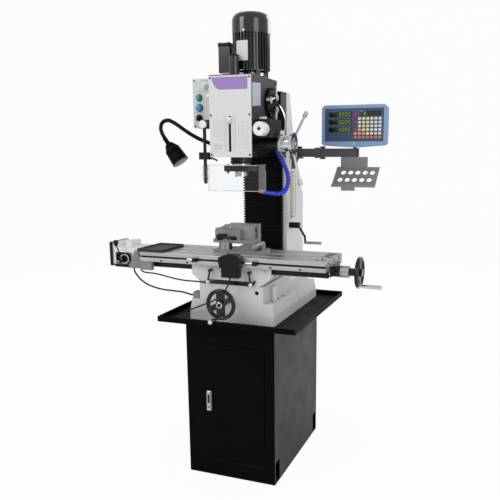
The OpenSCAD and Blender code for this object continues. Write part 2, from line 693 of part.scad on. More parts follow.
module motor() {
  h = head_top;
  top = h + motor_h - 81;
  color([0.08, 0.08, 0.08]) difference() {
    union() {
      bar_z(h, h + 12, 0, motor_y, motor_r - 14);
      for (a = [45 : 90 : 315]) translate([0, motor_y, h]) rotate([0, 0, a]) translate([motor_r - 26, -9, 0]) cube([20, 18, 36]);
      translate([0, motor_y, h + 34]) linear_extrude(top - h - 34) polygon([for (i = [0 : 35]) let (a = 10 * i)
        each [(motor_r - 9) * [cos(a - 3.6), sin(a - 3.6)], motor_r * [cos(a - 1.6), sin(a - 1.6)],
          motor_r * [cos(a + 1.6), sin(a + 1.6)], (motor_r - 9) * [cos(a + 3.6), sin(a + 3.6)]]]);
      bar_z(h + 11, h + 35, 0, motor_y, motor_r - 20);
      box([-136, motor_y - 26, h + 30], [-86, motor_y + 30, h + 145]);
      box([-92, motor_y - 14, h + 50], [-60, motor_y + 14, h + 130]);
      bar_z(h + 0.1, h + 84, -36, -112, 19);
      box([-48, -104, h + 40], [-24, -84, h + 76]);
    }
    bar_z(h + 12, top + 1, 0, motor_y, motor_r - 20);
    bar_z(h - 1, h + 13, 0, motor_y, 12 + fit);
  }
}
module fan_cover() {
  r = motor_r + 1;
  z = head_top + motor_h - 81 + 0.3;
  h = 80.7;
  dome = 30;
  color([0.08, 0.08, 0.08]) translate([0, motor_y, z]) difference() {
    rotate_extrude() polygon(concat([[r - 2, 0], [r, 0]],
      [for (a = [0 : 10 : 90]) [r - dome + dome * cos(a), h - dome + dome * sin(a)]],
      [[0, h], [0, h - 2]],
      [for (a = [90 : -10 : 0]) [r - dome + (dome - 2) * cos(a), h - dome + (dome - 2) * sin(a)]]));
    for (a = [0 : 30 : 330]) rotate([0, 0, a]) translate([22, -2.5, h - 5]) cube([24, 5, 10]);
  }
  color([0.08, 0.08, 0.08]) for (a = [30 : 120 : 270]) translate([0, motor_y, z]) rotate([0, 0, a])
    translate([motor_r - 6, -4, 0]) cube([6, 8, 10]);
}
module motor_shaft() {
  top = head_top + motor_h - 81;
  color("silver") {
    bar_z(gear_z - 16, top + 30, 0, motor_y, 12);
    translate([0, motor_y, gear_z]) linear_extrude(gear_t) polygon(gear_outline(gear_m, pinion_n, 0));
    bar_z(head_top + 50, top - 24, 0, motor_y, motor_r - 22);
    bar_z(top + 6, top + 26, 0, motor_y, 18);
    for (a = [15 : 60 : 315]) translate([0, motor_y, top + 8]) rotate([0, 0, a]) translate([12, -1.5, 0]) cube([44, 3, 16]);
  }
}
panel_y = -122;
module control_panel() {
  color("whitesmoke") difference() {
    box([-219, panel_y, 1448], [-head_w - 9, -50, 1642]);
    bar_y(panel_y - 1, panel_y + 22, -190, 1568, 8 + gap);
    bar_y(panel_y - 1, panel_y + 22, -190, 1528, 8 + gap);
    bar_y(panel_y - 1, panel_y + 22, -190, 1488, 6 + fit);
  }
}
module push_button(z, r) {
  bar_y(panel_y - 9, panel_y - 4, -190, z, r);
  bar_y(panel_y - 5, panel_y + 15, -190, z, 8);
}
module start_button() { color("green") push_button(1568, 11); }
module stop_button() { color("dodgerblue") push_button(1528, 13); }
module speed_switch() {
  color([0.15, 0.15, 0.2]) {
    bar_y(panel_y - 8, panel_y - 0.4, -190, 1488, 13);
    bar_y(panel_y - 8, panel_y + 20, -190, 1488, 6);
    translate([-190, panel_y - 12, 1488]) rotate([0, 40, 0]) cube([6, 10, 26], center = true);
  }
}
module work_lamp() {
  n = len(LAMP_NECK) - 1;
  end = LAMP_NECK[n];
  aim = unit([82, 0, -110]);
  color("black") {
    tube(LAMP_NECK, 7.5, 10);
    bar_z(head_z - 8, head_z, -60, -170, 12);
    bar(end - 6 * aim, end + 30 * aim, 9);
    bar(end + 26 * aim, end + 54 * aim, 16, 31);
    bar(end + 53 * aim, end + 84 * aim, 31, 33);
    bar(end + 83 * aim, end + 116 * aim, 33, 35);
  }
}
module coolant_hose() {
  n = len(HOSE) - 1;
  color("blue") tube(HOSE, 8, 12);
  color("orange") bar(HOSE[n] - [2, -1, 0], [58, -112, 1194], 8.5, 3);
  color("black") bar_z(head_z - 8, head_z, 80, 0, 7);
}
module guard_arm() {
  color("black") {
    bar_z(1228, 1456, guard_x, guard_y, 6.5);
    difference() {
      box([guard_x - 20, guard_y - 14, 1322], [guard_x + 22, guard_y + 16, 1350]);
      bar_z(1300, 1360, guard_x, guard_y, 6.5);
    }
    bar([guard_x + 18, guard_y - 2, 1334], [-62, guard_y, 1318], 3.5);
  }
}
module chip_guard() {
  x1 = guard_x - 10;
  x2 = guard_x + 225;
  color([0.8, 0.85, 0.9, 0.4]) difference() {
    union() {
      box([x1 + 20, -225, 1198], [x2, -222, 1303]);
      box([x2 - 3, -225, 1198], [x2, -150, 1303]);
      bar_z(1236, 1300, guard_x, guard_y, 11);
      box([guard_x, -228, 1240], [x1 + 24, -222, 1296]);
    }
    bar_z(1200, 1310, guard_x, guard_y, 6.5 + fit);
  }
}
module gear_lever(z, tilt) {
  x = head_w + 9;
  color("silver") {
    bar_x(x - 22, x + 24, -35, z, 7);
    bar_x(x - 0.5, x + 20, -35, z, 13);
    translate([x + 14, -35, z]) rotate([tilt, 0, 0]) hull() {
      translate([0, 0, 6]) cube([8, 20, 10], center = true);
      translate([4, 0, 42]) cube([8, 10, 8], center = true);
    }
  }
}
module gear_lever_upper() {
  x = head_w + 9;
  gear_lever(1566, 18);
  color("silver") {
    bar([x + 14, -44, 1564], [x + 16, -108, 1552], 3.5);
    bar_x(x + 8, x + 24, -112, 1551, 13);
  }
}
module gear_lever_lower() { gear_lever(1518, 160); }
module fine_feed_knob() {
  z = head_z + 38;
  color("whitesmoke") bar_y(-230, -187, fine_x, z, 26.5);
  color("silver") bar_y(-190, -102, fine_x, z, 8);
}

// ---- Quill and spindle ----
module quill() {
  color("silver") difference() {
    bar_z(nose_z + 20, 1480, 0, spindle_y, quill_r);
    bar_z(nose_z, 1490, 0, spindle_y, spindle_r + fit);
  }
}
module quill_clamp() {
  color("black") difference() {
    box([-54, spindle_y - 46, nose_z + 20], [52, spindle_y + 46, nose_z + 44]);
    bar_z(nose_z, nose_z + 60, 0, spindle_y, quill_r);
  }
  color("silver") for (x = [-44, 42]) bar_z(nose_z + 12, nose_z + 48, x, spindle_y - 30, 5);
}
module spindle() {
  color("silver") difference() {
    union() {
      bar_z(nose_z + 19, 1478, 0, spindle_y, spindle_r);
      bar_z(nose_z, nose_z + 19.6, 0, spindle_y, spindle_r + 5);
      bar_z(1477, 1622, 0, spindle_y, 11);
    }
    bar_z(nose_z - 1, nose_z + tool_d, 0, spindle_y, tool_r);
  }
}
module spindle_gear() {
  color("silver") difference() {
    union() {
      translate([0, spindle_y, gear_z]) linear_extrude(gear_t) polygon(gear_outline(gear_m, gear_n, 3.6));
      bar_z(gear_z - 46, gear_z + 40, 0, spindle_y, 24);
    }
    bar_z(gear_z - 50, gear_z + 50, 0, spindle_y, 11 + fit);
  }
}
module feed_hub() {
  color("silver") {
    bar_x(-40, 156, feed_y, feed_z, 10);
    bar_x(-15, 15, feed_y, feed_z, pinion_r - 0.6);
    bar_x(155, 164, feed_y, feed_z, 49);
    bar_x(163, 198, feed_y, feed_z, 30);
    bar_x(197, 209, feed_y, feed_z, 43);
    for (a = [47, 167, 287]) {
      tip = [219, feed_y + 167 * cos(a), feed_z + 167 * sin(a)];
      bar([200, feed_y + 20 * cos(a), feed_z + 20 * sin(a)], tip, 5);
      bar(tip - 16 * unit(tip - [200, feed_y, feed_z]), tip + 6 * unit(tip - [200, feed_y, feed_z]), 8.5);
    }
  }
}

// ---- Digital readout ----
module dro_bracket() {
  w = column_w;
  color("dimgray") difference() {
    union() {
      box([w, 168, arm_z - 26], [w + 8, 232, arm_z + 30]);
      slab_y(arm_y - 60, arm_y - 30, [[w + 6, arm_z - 70], [w + 6, arm_z - 19], [w + 28, arm_z - 19]]);
      box([w, 190, arm_z - 70], [w + 8, 226, arm_z - 20]);
      box([w + 2, 190, arm_z - 26], [shoulder_x + 14, arm_y + 14, arm_z - 19]);
      bar_z(arm_z - 19.5, arm_z + 24, shoulder_x, arm_y, 6);
    }
  }
  color("black") bar_z(arm_z + 19.4, arm_z + 28, shoulder_x, arm_y, 12);
}
module dro_link(x1, x2) {
  difference() {
    union() {
      box([x1, arm_y - 14, arm_z - 18.5], [x2, arm_y + 14, arm_z + 18.5]);
      bar_z(arm_z - 18.5, arm_z + 18.5, x1, arm_y, 14);
    }
    bar_z(arm_z - 30, arm_z + 30, x1, arm_y, 6 + fit);
  }
}
module dro_inner_arm() {
  color("dimgray") difference() {
    union() {
      difference() {
        dro_link(shoulder_x, elbow_x - 18);
        box([elbow_x - 18, 200, arm_z - 30], [elbow_x + 20, 300, arm_z + 30]);
      }
      for (z = [arm_z - 23, arm_z + 19]) {
        box([elbow_x - 34, arm_y - 13, z], [elbow_x, arm_y + 13, z + 4]);
        bar_z(z, z + 4, elbow_x, arm_y, 13);
      }
      box([elbow_x - 34, arm_y - 13, arm_z - 22], [elbow_x - 19, arm_y + 13, arm_z + 22]);
    }
  }
  color("black") for (z = [arm_z - 28, arm_z + 22.5]) bar_z(z, z + 5.5, elbow_x, arm_y, 11);
  color("black") bar_z(arm_z - 26, arm_z + 26, elbow_x, arm_y, 6);
}
module dro_outer_arm() {
  color("dimgray") {
    dro_link(elbow_x, 386);
    box([385.9, arm_y - 15, arm_z - 19.5], [390, arm_y + 15, arm_z + 19.5]);
    bar_z(arm_z + 18, arm_z + 45, post_x, arm_y, 8);
    difference() {
      union() {
        box([316, arm_y - 18, 1284], [436, arm_y - 15, arm_z - 18]);
        box([316, arm_y - 18, arm_z - 20], [386, arm_y + 14, arm_z - 18.4]);
        slab_x(300, 490, [[arm_y - 16, 1286], [arm_y - 17, 1282.5], [137, 1203], [133, 1203], [133, 1214],
          [135.5, 1214], [135.5, 1206.5], [136.5, 1206.5]]);
        box([344, 133, 1188], [404, 135.5, 1206]);
      }
      for (k = [0 : 4], row = [0, 1])
        translate([330 + 32 * k + 6 * row, row ? 206 : 170, 1260]) cylinder(h = 120, r = 11, center = true);
    }
  }
}
module dro_display() {
  z = arm_z + 30;
  w = dro_w / 2;
  color("lightsteelblue") difference() {
    union() {
      slab_y(arm_y - dro_t + 10, arm_y + 10, [for (p = [[-w, 10], [-w + 8, 1], [-20, -7], [20, -7], [w - 8, 1],
        [w, 10], [w, dro_h - 12], [w - 12, dro_h], [-w + 12, dro_h], [-w, dro_h - 12]]) [post_x + p[0], z + p[1]]]);
      box([post_x - 14, arm_y - 12, z - 7], [post_x + 14, arm_y + 14, z + 2]);
    }
    bar_z(z - 10, z + 16, post_x, arm_y, 8 + fit);
    box([post_x - w + 14, arm_y - dro_t + 9, z + 18], [post_x + w - 14, arm_y - dro_t + 12, z + dro_h - 14]);
  }
}

// ---- Cables ----
module cable_feed() { color("black") tube(FEED_CABLE, 3.5); }
module cable_table() { color("black") tube(TABLE_CABLE, 3); }
module cable_switch() { color("black") tube(SWITCH_CABLE, 3); }

cabinet();
cabinet_door();
door_latch();
chip_tray();
base_casting();
raised() column();
column_bolts();
raised() z_scale();
raised() z_screw();
raised() z_crank();
way_cover();
raised() column_bellows();
saddle();
limit_switch();
saddle_lock_left();
saddle_lock_right();
y_handwheel();
y_grip();
table();
end_tray();
x_bearing();
table_stops();
feed_bracket();
power_feed();
x_handwheel();
x_grip();
feed_lever();
feed_dial();
vise_base();
vise_jaw();
vise_handle();
raised() z_slide();
raised() head_casting();
raised() front_plate();
raised() motor();
raised() fan_cover();
raised() motor_shaft();
raised() control_panel();
raised() start_button();
raised() stop_button();
raised() speed_switch();
raised() work_lamp();
raised() coolant_hose();
raised() guard_arm();
raised() chip_guard();
raised() gear_lever_upper();
raised() gear_lever_lower();
raised() fine_feed_knob();
raised() quill();
raised() quill_clamp();
raised() spindle();
raised() spindle_gear();
raised() feed_hub();
raised() dro_bracket();
raised() dro_inner_arm();
raised() dro_outer_arm();
raised() dro_display();
raised() cable_feed();
raised() cable_table();
raised() cable_switch();
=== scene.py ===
"""Vertical milling machine on a cabinet stand: finishes, detail, light and camera over the CAD frame."""
from math import cos, pi, radians, sin

import bmesh
import bpy
import numpy as np
from mathutils import Matrix, Vector


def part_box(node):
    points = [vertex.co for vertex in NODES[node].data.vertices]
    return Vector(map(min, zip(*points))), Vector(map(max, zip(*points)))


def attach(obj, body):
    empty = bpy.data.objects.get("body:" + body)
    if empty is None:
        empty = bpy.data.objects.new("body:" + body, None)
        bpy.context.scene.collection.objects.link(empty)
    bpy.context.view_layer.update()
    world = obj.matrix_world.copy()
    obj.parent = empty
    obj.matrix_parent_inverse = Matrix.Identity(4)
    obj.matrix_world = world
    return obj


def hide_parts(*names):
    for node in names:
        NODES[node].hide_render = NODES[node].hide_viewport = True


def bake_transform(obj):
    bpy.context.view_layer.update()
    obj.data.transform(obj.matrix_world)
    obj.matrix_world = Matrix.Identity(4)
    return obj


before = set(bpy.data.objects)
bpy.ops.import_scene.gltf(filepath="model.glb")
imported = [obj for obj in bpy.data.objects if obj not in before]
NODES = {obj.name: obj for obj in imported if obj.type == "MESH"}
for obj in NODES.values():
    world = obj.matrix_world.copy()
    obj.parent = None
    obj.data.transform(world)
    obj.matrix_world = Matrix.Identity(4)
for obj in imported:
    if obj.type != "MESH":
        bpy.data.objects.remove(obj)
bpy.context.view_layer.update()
MM = 0.001
# directions, for the axes of turned parts
FRONT = (0, -1, 0)
BACK = (0, 1, 0)
UP = (0, 0, 1)
DOWN = (0, 0, -1)
RIGHT = (1, 0, 0)
LEFT = (-1, 0, 0)


def add(name, data):
    """New object in the scene."""
    o = bpy.data.objects.new(name, data)
    bpy.context.scene.collection.objects.link(o)
    return o


# ---------------------------------------------------------------- materials
def surface(name, colour, rough, spread, grain, relief, metal=0.0, coat=0.0, stretch=(1, 1, 1), patch=9.0,
            rough_spread=0.08, ior=1.45, clear=0.0, glow=0.0, spec=0.5):
    """Procedural finish. colour is linear, spread its share of change, grain the texture's cycles per metre,
    and relief its depth in mm."""
    material = bpy.data.materials.new(name)
    material.use_nodes = True
    tree = material.node_tree
    link = tree.links.new
    shader = tree.nodes["Principled BSDF"]
    for key, value in (("Metallic", metal), ("Coat Weight", coat), ("Coat Roughness", 0.12), ("IOR", ior),
                       ("Specular IOR Level", spec), ("Transmission Weight", clear)):
        shader.inputs[key].default_value = value
    place = tree.nodes.new("ShaderNodeTexCoord")
    scaled = tree.nodes.new("ShaderNodeMapping")
    scaled.inputs["Scale"].default_value = stretch
    link(place.outputs["Object"], scaled.inputs["Vector"])

    def noise(scale, detail):
        node = tree.nodes.new("ShaderNodeTexNoise")
        node.inputs["Scale"].default_value = scale
        node.inputs["Detail"].default_value = detail
        link(scaled.outputs["Vector"], node.inputs["Vector"])
        return node.outputs["Fac"]

    def spread_out(source, low, high):
        node = tree.nodes.new("ShaderNodeMapRange")
        for key, value in (("From Min", 0.3), ("From Max", 0.7), ("To Min", low), ("To Max", high)):
            node.inputs[key].default_value = value
        link(source, node.inputs["Value"])
        return node.outputs["Result"]

    fine, broad = noise(grain, 3.0), noise(patch, 2.0)
    tone = tree.nodes.new("ShaderNodeMath")
    tone.operation = "MULTIPLY_ADD"
    tone.inputs[1].default_value = 0.35
    link(fine, tone.inputs[0])
    share = tree.nodes.new("ShaderNodeMath")
    share.operation = "MULTIPLY"
    share.inputs[1].default_value = 0.65
    link(broad, share.inputs[0])
    link(share.outputs[0], tone.inputs[2])
    mix = tree.nodes.new("ShaderNodeMix")
    mix.data_type = "RGBA"
    mix.inputs["A"].default_value = [c * (1 - spread) for c in colour] + [1]
    mix.inputs["B"].default_value = [min(c * (1 + spread), 1) for c in colour] + [1]
    link(spread_out(tone.outputs[0], 0, 1), mix.inputs["Factor"])
    link(mix.outputs["Result"], shader.inputs["Base Color"])
    link(spread_out(broad, max(rough - rough_spread, 0.02), min(rough + rough_spread, 1)),
         shader.inputs["Roughness"])
    if relief:
        bump = tree.nodes.new("ShaderNodeBump")
        bump.inputs["Strength"].default_value = 0.6
        bump.inputs["Distance"].default_value = relief * MM
        link(fine, bump.inputs["Height"])
        link(bump.outputs["Normal"], shader.inputs["Normal"])
    if glow:
        link(mix.outputs["Result"], shader.inputs["Emission Color"])
        shader.inputs["Emission Strength"].default_value = glow
    return material


ENAMEL = surface("enamel_light_grey", (0.73, 0.73, 0.725), 0.36, 0.03, 260, 0.05, coat=0.25)
# rough cast enamel of the base and saddle: real filler texture, with a colour set darker than the column's
# enamel as painted shade
FILLED = surface("rough_cast_enamel_with_painted_shade", (0.62, 0.62, 0.615), 0.42, 0.045, 150, 0.16, coat=0.15)
PANEL = surface("panel_white", (0.67, 0.67, 0.665), 0.4, 0.02, 700, 0.01)
CHARCOAL = surface("enamel_charcoal", (0.011, 0.011, 0.012), 0.36, 0.2, 240, 0.07, coat=0.1, spec=0.35)
GLOSS = surface("enamel_black", (0.004, 0.004, 0.0045), 0.2, 0.25, 300, 0.03, coat=0.25, spec=0.35)
HOOD = surface("motor_black", (0.010, 0.010, 0.011), 0.17, 0.2, 300, 0.03, coat=0.6)
SATIN = surface("powder_coat_black", (0.0022, 0.0022, 0.0025), 0.45, 0.25, 900, 0.05, spec=0.05)
SHEET = surface("powder_coat_grey", (0.032, 0.032, 0.034), 0.45, 0.12, 900, 0.05, spec=0.3)
OXIDE = surface("black_oxide", (0.010, 0.010, 0.011), 0.34, 0.25, 600, 0.02, metal=0.3, spec=0.4)
PLASTIC = surface("moulded_black", (0.005, 0.005, 0.0055), 0.42, 0.25, 1400, 0.03, spec=0.28)
RUBBER = surface("rubber_black", (0.0035, 0.0035, 0.004), 0.6, 0.3, 1600, 0.05, spec=0.2)
CABLE = surface("cable_jacket", (0.005, 0.005, 0.0055), 0.5, 0.25, 2200, 0.02, spec=0.3)
GROUND = surface("ground_iron", (0.52, 0.52, 0.525), 0.33, 0.12, 900, 0.012, metal=0.8, stretch=(0.03, 1, 1),
                 patch=30)
IRON = surface("cast_iron_grey", (0.26, 0.26, 0.265), 0.45, 0.15, 500, 0.06, metal=0.3)
STEEL = surface("bright_steel", (0.60, 0.60, 0.61), 0.22, 0.08, 1500, 0.008, metal=1)
CHROME = surface("chrome", (0.74, 0.74, 0.76), 0.09, 0.03, 300, 0.004, metal=1, rough_spread=0.03)
SPUN = surface("turned_steel", (0.50, 0.50, 0.51), 0.28, 0.14, 1800, 0.015, metal=1, patch=60)
ALUMINIUM = surface("aluminium", (0.66, 0.66, 0.68), 0.32, 0.06, 1200, 0.01, metal=1)
GREY = surface("enamel_mid_grey", (0.22, 0.22, 0.225), 0.42, 0.08, 300, 0.05)
PURPLE = surface("printed_purple", (0.31, 0.20, 0.50), 0.38, 0.03, 900, 0.005)
INK = surface("printed_grey", (0.33, 0.33, 0.35), 0.5, 0.1, 900, 0.0)
STICKER = surface("sticker_blue_grey", (0.42, 0.50, 0.58), 0.4, 0.04, 700, 0.005)
WHITE = surface("white_plastic", (0.80, 0.80, 0.79), 0.35, 0.03, 900, 0.02, coat=0.2)
GREEN = surface("button_green", (0.015, 0.30, 0.20), 0.28, 0.08, 900, 0.01, coat=0.3)
BLUE = surface("button_blue", (0.03, 0.27, 0.62), 0.28, 0.08, 900, 0.01, coat=0.3)
RED = surface("button_red", (0.50, 0.02, 0.02), 0.3, 0.08, 900, 0.01, coat=0.3)
LENS = surface("lamp_green", (0.42, 0.66, 0.50), 0.2, 0.05, 600, 0.01, coat=0.4, glow=0.15)
HOSE = surface("hose_blue", (0.012, 0.05, 0.62), 0.26, 0.08, 900, 0.02, coat=0.3)
ORANGE = surface("nozzle_orange", (0.75, 0.19, 0.01), 0.3, 0.08, 900, 0.02, coat=0.2)
ARM = surface("arm_dark_grey", (0.085, 0.085, 0.088), 0.42, 0.15, 700, 0.04, spec=0.35)
CASE = surface("case_blue_grey", (0.22, 0.34, 0.56), 0.4, 0.06, 900, 0.04)
FASCIA = surface("fascia_blue", (0.058, 0.088, 0.155), 0.35, 0.06, 900, 0.01, spec=0.3)
SCREEN = surface("screen_dark", (0.006, 0.010, 0.012), 0.12, 0.2, 300, 0.0, coat=0.6)
DIGIT = surface("digit_green", (0.20, 0.36, 0.01), 0.4, 0.05, 500, 0.0, glow=0.5)
KEY_WHITE = surface("key_white", (0.74, 0.74, 0.70), 0.4, 0.04, 700, 0.01)
KEY_YELLOW = surface("key_yellow", (0.82, 0.74, 0.28), 0.4, 0.05, 700, 0.01)
KEY_ORANGE = surface("key_orange", (0.80, 0.36, 0.20), 0.4, 0.05, 700, 0.01)
KEY_GREEN = surface("key_lime", (0.70, 0.75, 0.42), 0.4, 0.05, 700, 0.01)
TAPE = surface("scale_tape", (0.62, 0.56, 0.36), 0.4, 0.04, 700, 0.005)
KEY_RED = surface("key_red", (0.66, 0.17, 0.09), 0.4, 0.05, 700, 0.01)
TRAY = surface("tray_grey", (0.23, 0.23, 0.235), 0.42, 0.1, 700, 0.04)
# near-black: engraved and printed marks, and painted shade in the head's slot, the table's T-slot groove and
# the base's holes
DARK = surface("black_marks_and_painted_shade", (0.004, 0.004, 0.004), 0.6, 0.2, 500, 0.0)
GUARD = surface("clear_polycarbonate", (0.93, 0.96, 0.98), 0.03, 0.01, 200, 0.0, clear=1.0,
                rough_spread=0.015, ior=1.3)
LAMP_GLASS = surface("lamp_glass", (0.02, 0.02, 0.022), 0.15, 0.05, 700, 0.01, coat=0.4)

FINISH = {
    "cabinet": SHEET, "cabinet_door": SATIN, "door_latch": STEEL, "chip_tray": SATIN,
    "base_casting": FILLED, "column": ENAMEL, "column_bolts": OXIDE, "z_scale": ALUMINIUM,
    "z_screw": STEEL, "z_crank": OXIDE, "saddle": FILLED, "limit_switch": PLASTIC,
    "saddle_lock_left": OXIDE, "saddle_lock_right": OXIDE, "y_handwheel": GLOSS, "y_grip": CHROME,
    "table": GROUND, "end_tray": SHEET, "x_bearing": GLOSS, "table_stops": OXIDE,
    "feed_bracket": GREY, "power_feed": WHITE, "x_handwheel": GLOSS, "x_grip": CHROME,
    "feed_lever": PLASTIC, "feed_dial": PLASTIC, "vise_base": IRON, "vise_jaw": IRON, "vise_handle": OXIDE,
    "z_slide": GLOSS, "head_casting": CHARCOAL, "front_plate": PANEL, "motor": HOOD, "fan_cover": HOOD,
    "motor_shaft": STEEL, "control_panel": PANEL, "start_button": GREEN, "stop_button": BLUE,
    "speed_switch": PLASTIC, "work_lamp": SATIN, "coolant_hose": HOSE, "guard_arm": OXIDE,
    "chip_guard": GUARD, "gear_lever_upper": CHROME, "gear_lever_lower": CHROME, "fine_feed_knob": WHITE,
    "quill": STEEL, "quill_clamp": OXIDE, "spindle": STEEL, "spindle_gear": STEEL, "feed_hub": CHROME,
    "dro_bracket": ARM, "dro_inner_arm": ARM, "dro_outer_arm": ARM, "dro_display": CASE,
    "way_cover": RUBBER, "column_bellows": RUBBER, "cable_feed": CABLE, "cable_table": CABLE,
    "cable_switch": CABLE,
}
EDGE_MM = {"base_casting": 2.5, "column": 2.0, "saddle": 2.0, "head_casting": 2.5, "table": 0.8,
           "vise_base": 1.2,
           "vise_jaw": 0.8, "cabinet": 0.0, "power_feed": 2.5, "control_panel": 2.0, "motor": 1.0,
           "limit_switch": 1.5,
           "dro_display": 3.0, "z_slide": 1.2, "feed_bracket": 1.2, "front_plate": 0.5, "quill_clamp": 1.2,
           "dro_bracket": 0.8, "x_bearing": 1.0, "table_stops": 0.8, "end_tray": 0.8}


def finish_node(node, material, edge):
    """Gives a CAD node its material, and rounds its sharp edges by edge mm."""
    o = NODES[node]
    o.data.materials.clear()
    o.data.materials.append(material)
    for polygon in o.data.polygons:
        polygon.material_index = 0
    if not edge:
        return
    if "custom_normal" in o.data.attributes:
        o.data.attributes.remove(o.data.attributes["custom_normal"])
    weld = o.modifiers.new("weld", "WELD")
    weld.merge_threshold = 0.00001
    bevel = o.modifiers.new("edges", "BEVEL")
    bevel.width = edge * MM
    bevel.segments = 2
    bevel.limit_method = "ANGLE"
    bevel.angle_limit = radians(50)
    bevel.use_clamp_overlap = True
    bevel.miter_outer = "MITER_ARC"
    smooth = o.modifiers.new("normals", "WEIGHTED_NORMAL")
    smooth.keep_sharp = True


for node_name, node_material in FINISH.items():
    finish_node(node_name, node_material, EDGE_MM.get(node_name, 0))


def repaint(node, material, test):
    """Gives the node's faces that pass test(centre in mm, normal) another material."""
    mesh = NODES[node].data
    mesh.materials.append(material)
    index = len(mesh.materials) - 1
    for polygon in mesh.polygons:
        if test(polygon.center / MM, polygon.normal):
            polygon.material_index = index


def at(node):
    """A node's box in millimetres."""
    low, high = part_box(node)
    return low / MM, high / MM


# ---------------------------------------------------------------- mesh helpers
class Shape:
    """Builds one mesh out of rounded plates, turned parts, tubes and prisms. All sizes are in millimetres."""

    def __init__(self):
        self.bm = bmesh.new()

    def plate(self, low, high, edge=0.6):
        low, high = Vector(low), Vector(high)
        made = bmesh.ops.create_cube(self.bm, size=1)["verts"]
        size, middle = high - low, (high + low) / 2
        for v in made:
            v.co = Vector([v.co[i] * size[i] + middle[i] for i in range(3)])
        if edge:
            edges = list({e for v in made for e in v.link_edges})
            bmesh.ops.bevel(self.bm, geom=edges, offset=min(edge, min(size) * 0.4), segments=2, profile=0.6,
                            affect="EDGES", clamp_overlap=True)
        return self

    def turned(self, profile, centre, axis, steps=32):
        """Profile is (radius, distance along the axis); it starts and ends on the axis."""
        turn = Vector(UP).rotation_difference(Vector(axis)).to_matrix()
        rings = []
        for r, h in profile:
            if r < 1e-6:
                rings.append([self.bm.verts.new(turn @ Vector((0, 0, h)) + Vector(centre))])
            else:
                turns = [2 * pi * k / steps for k in range(steps)]
                rings.append([self.bm.verts.new(turn @ Vector((r * cos(a), r * sin(a), h)) + Vector(centre))
                              for a in turns])
        for a, b in zip(rings, rings[1:]):
            for k in range(steps):
                n = (k + 1) % steps
                if len(a) == 1:
                    self.bm.faces.new((a[0], b[n], b[k]))
                elif len(b) == 1:
                    self.bm.faces.new((a[k], a[n], b[0]))
                else:
                    self.bm.faces.new((a[k], a[n], b[n], b[k]))
        return self

    def tube(self, points, radius, steps):
        """Tube along points, closed at both ends."""
        points = [Vector(p) for p in points]
        side, rings = None, []
        for i, p in enumerate(points):
            t = (points[min(i + 1, len(points) - 1)] - points[max(i - 1, 0)]).normalized()
            if side is None:
                side = t.orthogonal().normalized()
            side = (side - t * side.dot(t)).normalized()
            up = t.cross(side)
            turns = [2 * pi * k / steps for k in range(steps)]
            rings.append([self.bm.verts.new(p + radius * (cos(a) * side + sin(a) * up)) for a in turns])
        for a, b in zip(rings, rings[1:]):
            for k in range(steps):
                n = (k + 1) % steps
                self.bm.faces.new((a[k], a[n], b[n], b[k]))
        self.bm.faces.new(list(reversed(rings[0])))
        self.bm.faces.new(rings[-1])
        return self

    def prism(self, outline, low, high, plane="xz"):
        """Outline in a plane, drawn out from low to high along the third axis."""
        order = {"xz": (0, 2, 1), "yz": (1, 2, 0), "xy": (0, 1, 2)}[plane]

        def corner(p, h):
            co = [0.0, 0.0, 0.0]
            co[order[0]], co[order[1]], co[order[2]] = p[0], p[1], h
            return self.bm.verts.new(co)

        a = [corner(p, low) for p in outline]
        b = [corner(p, high) for p in outline]
        n = len(outline)
        self.bm.faces.new(list(reversed(a)))
        self.bm.faces.new(b)
        for k in range(n):
            self.bm.faces.new((a[k], a[(k + 1) % n], b[(k + 1) % n], b[k]))
        return self

    def block(self, corners):
        """Six-sided solid from eight corners: four of one end, then the same four of the other."""
        v = [self.bm.verts.new(c) for c in corners]
        for f in ((0, 1, 3, 2), (4, 6, 7, 5), (0, 4, 5, 1), (2, 3, 7, 6), (0, 2, 6, 4), (1, 5, 7, 3)):
            self.bm.faces.new([v[i] for i in f])

    def screw(self, centre, axis, radius, head=3.0):
        """Socket screw head with a hollow hexagon, standing on a face."""
        r, h = radius, head
        self.turned([(0, -1), (r, -1), (r, h * 0.8), (r * 0.9, h), (r * 0.55, h), (r * 0.5, h * 0.45),
                     (0, h * 0.45)],
                    centre, axis, 18)
        return self

    def bolt(self, centre, axis, radius, high, low=0):
        """Hexagon head from low to high along the axis, with a 1 mm chamfer."""
        self.turned([(0, low), (radius, low), (radius, high - 1), (radius - 1, high), (0, high)], centre,
                    axis, 6)

    def piece(self, name, material, body, slot, soft=35):
        bmesh.ops.recalc_face_normals(self.bm, faces=self.bm.faces[:])
        mesh = bpy.data.meshes.new(name)
        self.bm.transform(Matrix.Scale(MM, 4))
        self.bm.to_mesh(mesh)
        self.bm.free()
        o = add(name, mesh)
        mesh.materials.append(material)
        mesh.shade_smooth()
        mesh.set_sharp_from_angle(angle=radians(soft))
        if body:
            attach(o, body)
        return o


def rings_along(points, spacing):
    """Places and headings at equal steps along a smooth line through the points, in millimetres."""
    line = smooth_line(points, 12)
    gone, out, last = 0.0, [], line[0]
    for i in range(1, len(line)):
        step = (line[i] - last).length
        if gone + step >= spacing:
            out.append((line[i], (line[i] - last).normalized()))
            gone = 0.0
        else:
            gone += step
        last = line[i]
    return out


def smooth_line(points, parts):
    """Catmull-Rom line through the points, as vectors."""
    p = [Vector(q) for q in points]
    p = [p[0] * 2 - p[1]] + p + [p[-1] * 2 - p[-2]]
    out = []
    for i in range(1, len(p) - 2):
        for k in range(parts):
            t = k / parts
            out.append(0.5 * (2 * p[i] + (p[i + 1] - p[i - 1]) * t
                              + (2 * p[i - 1] - 5 * p[i] + 4 * p[i + 1] - p[i + 2]) * t * t
                              + (3 * p[i] - p[i - 1] - 3 * p[i + 1] + p[i + 2]) * t ** 3))
    return out + [p[-2]]


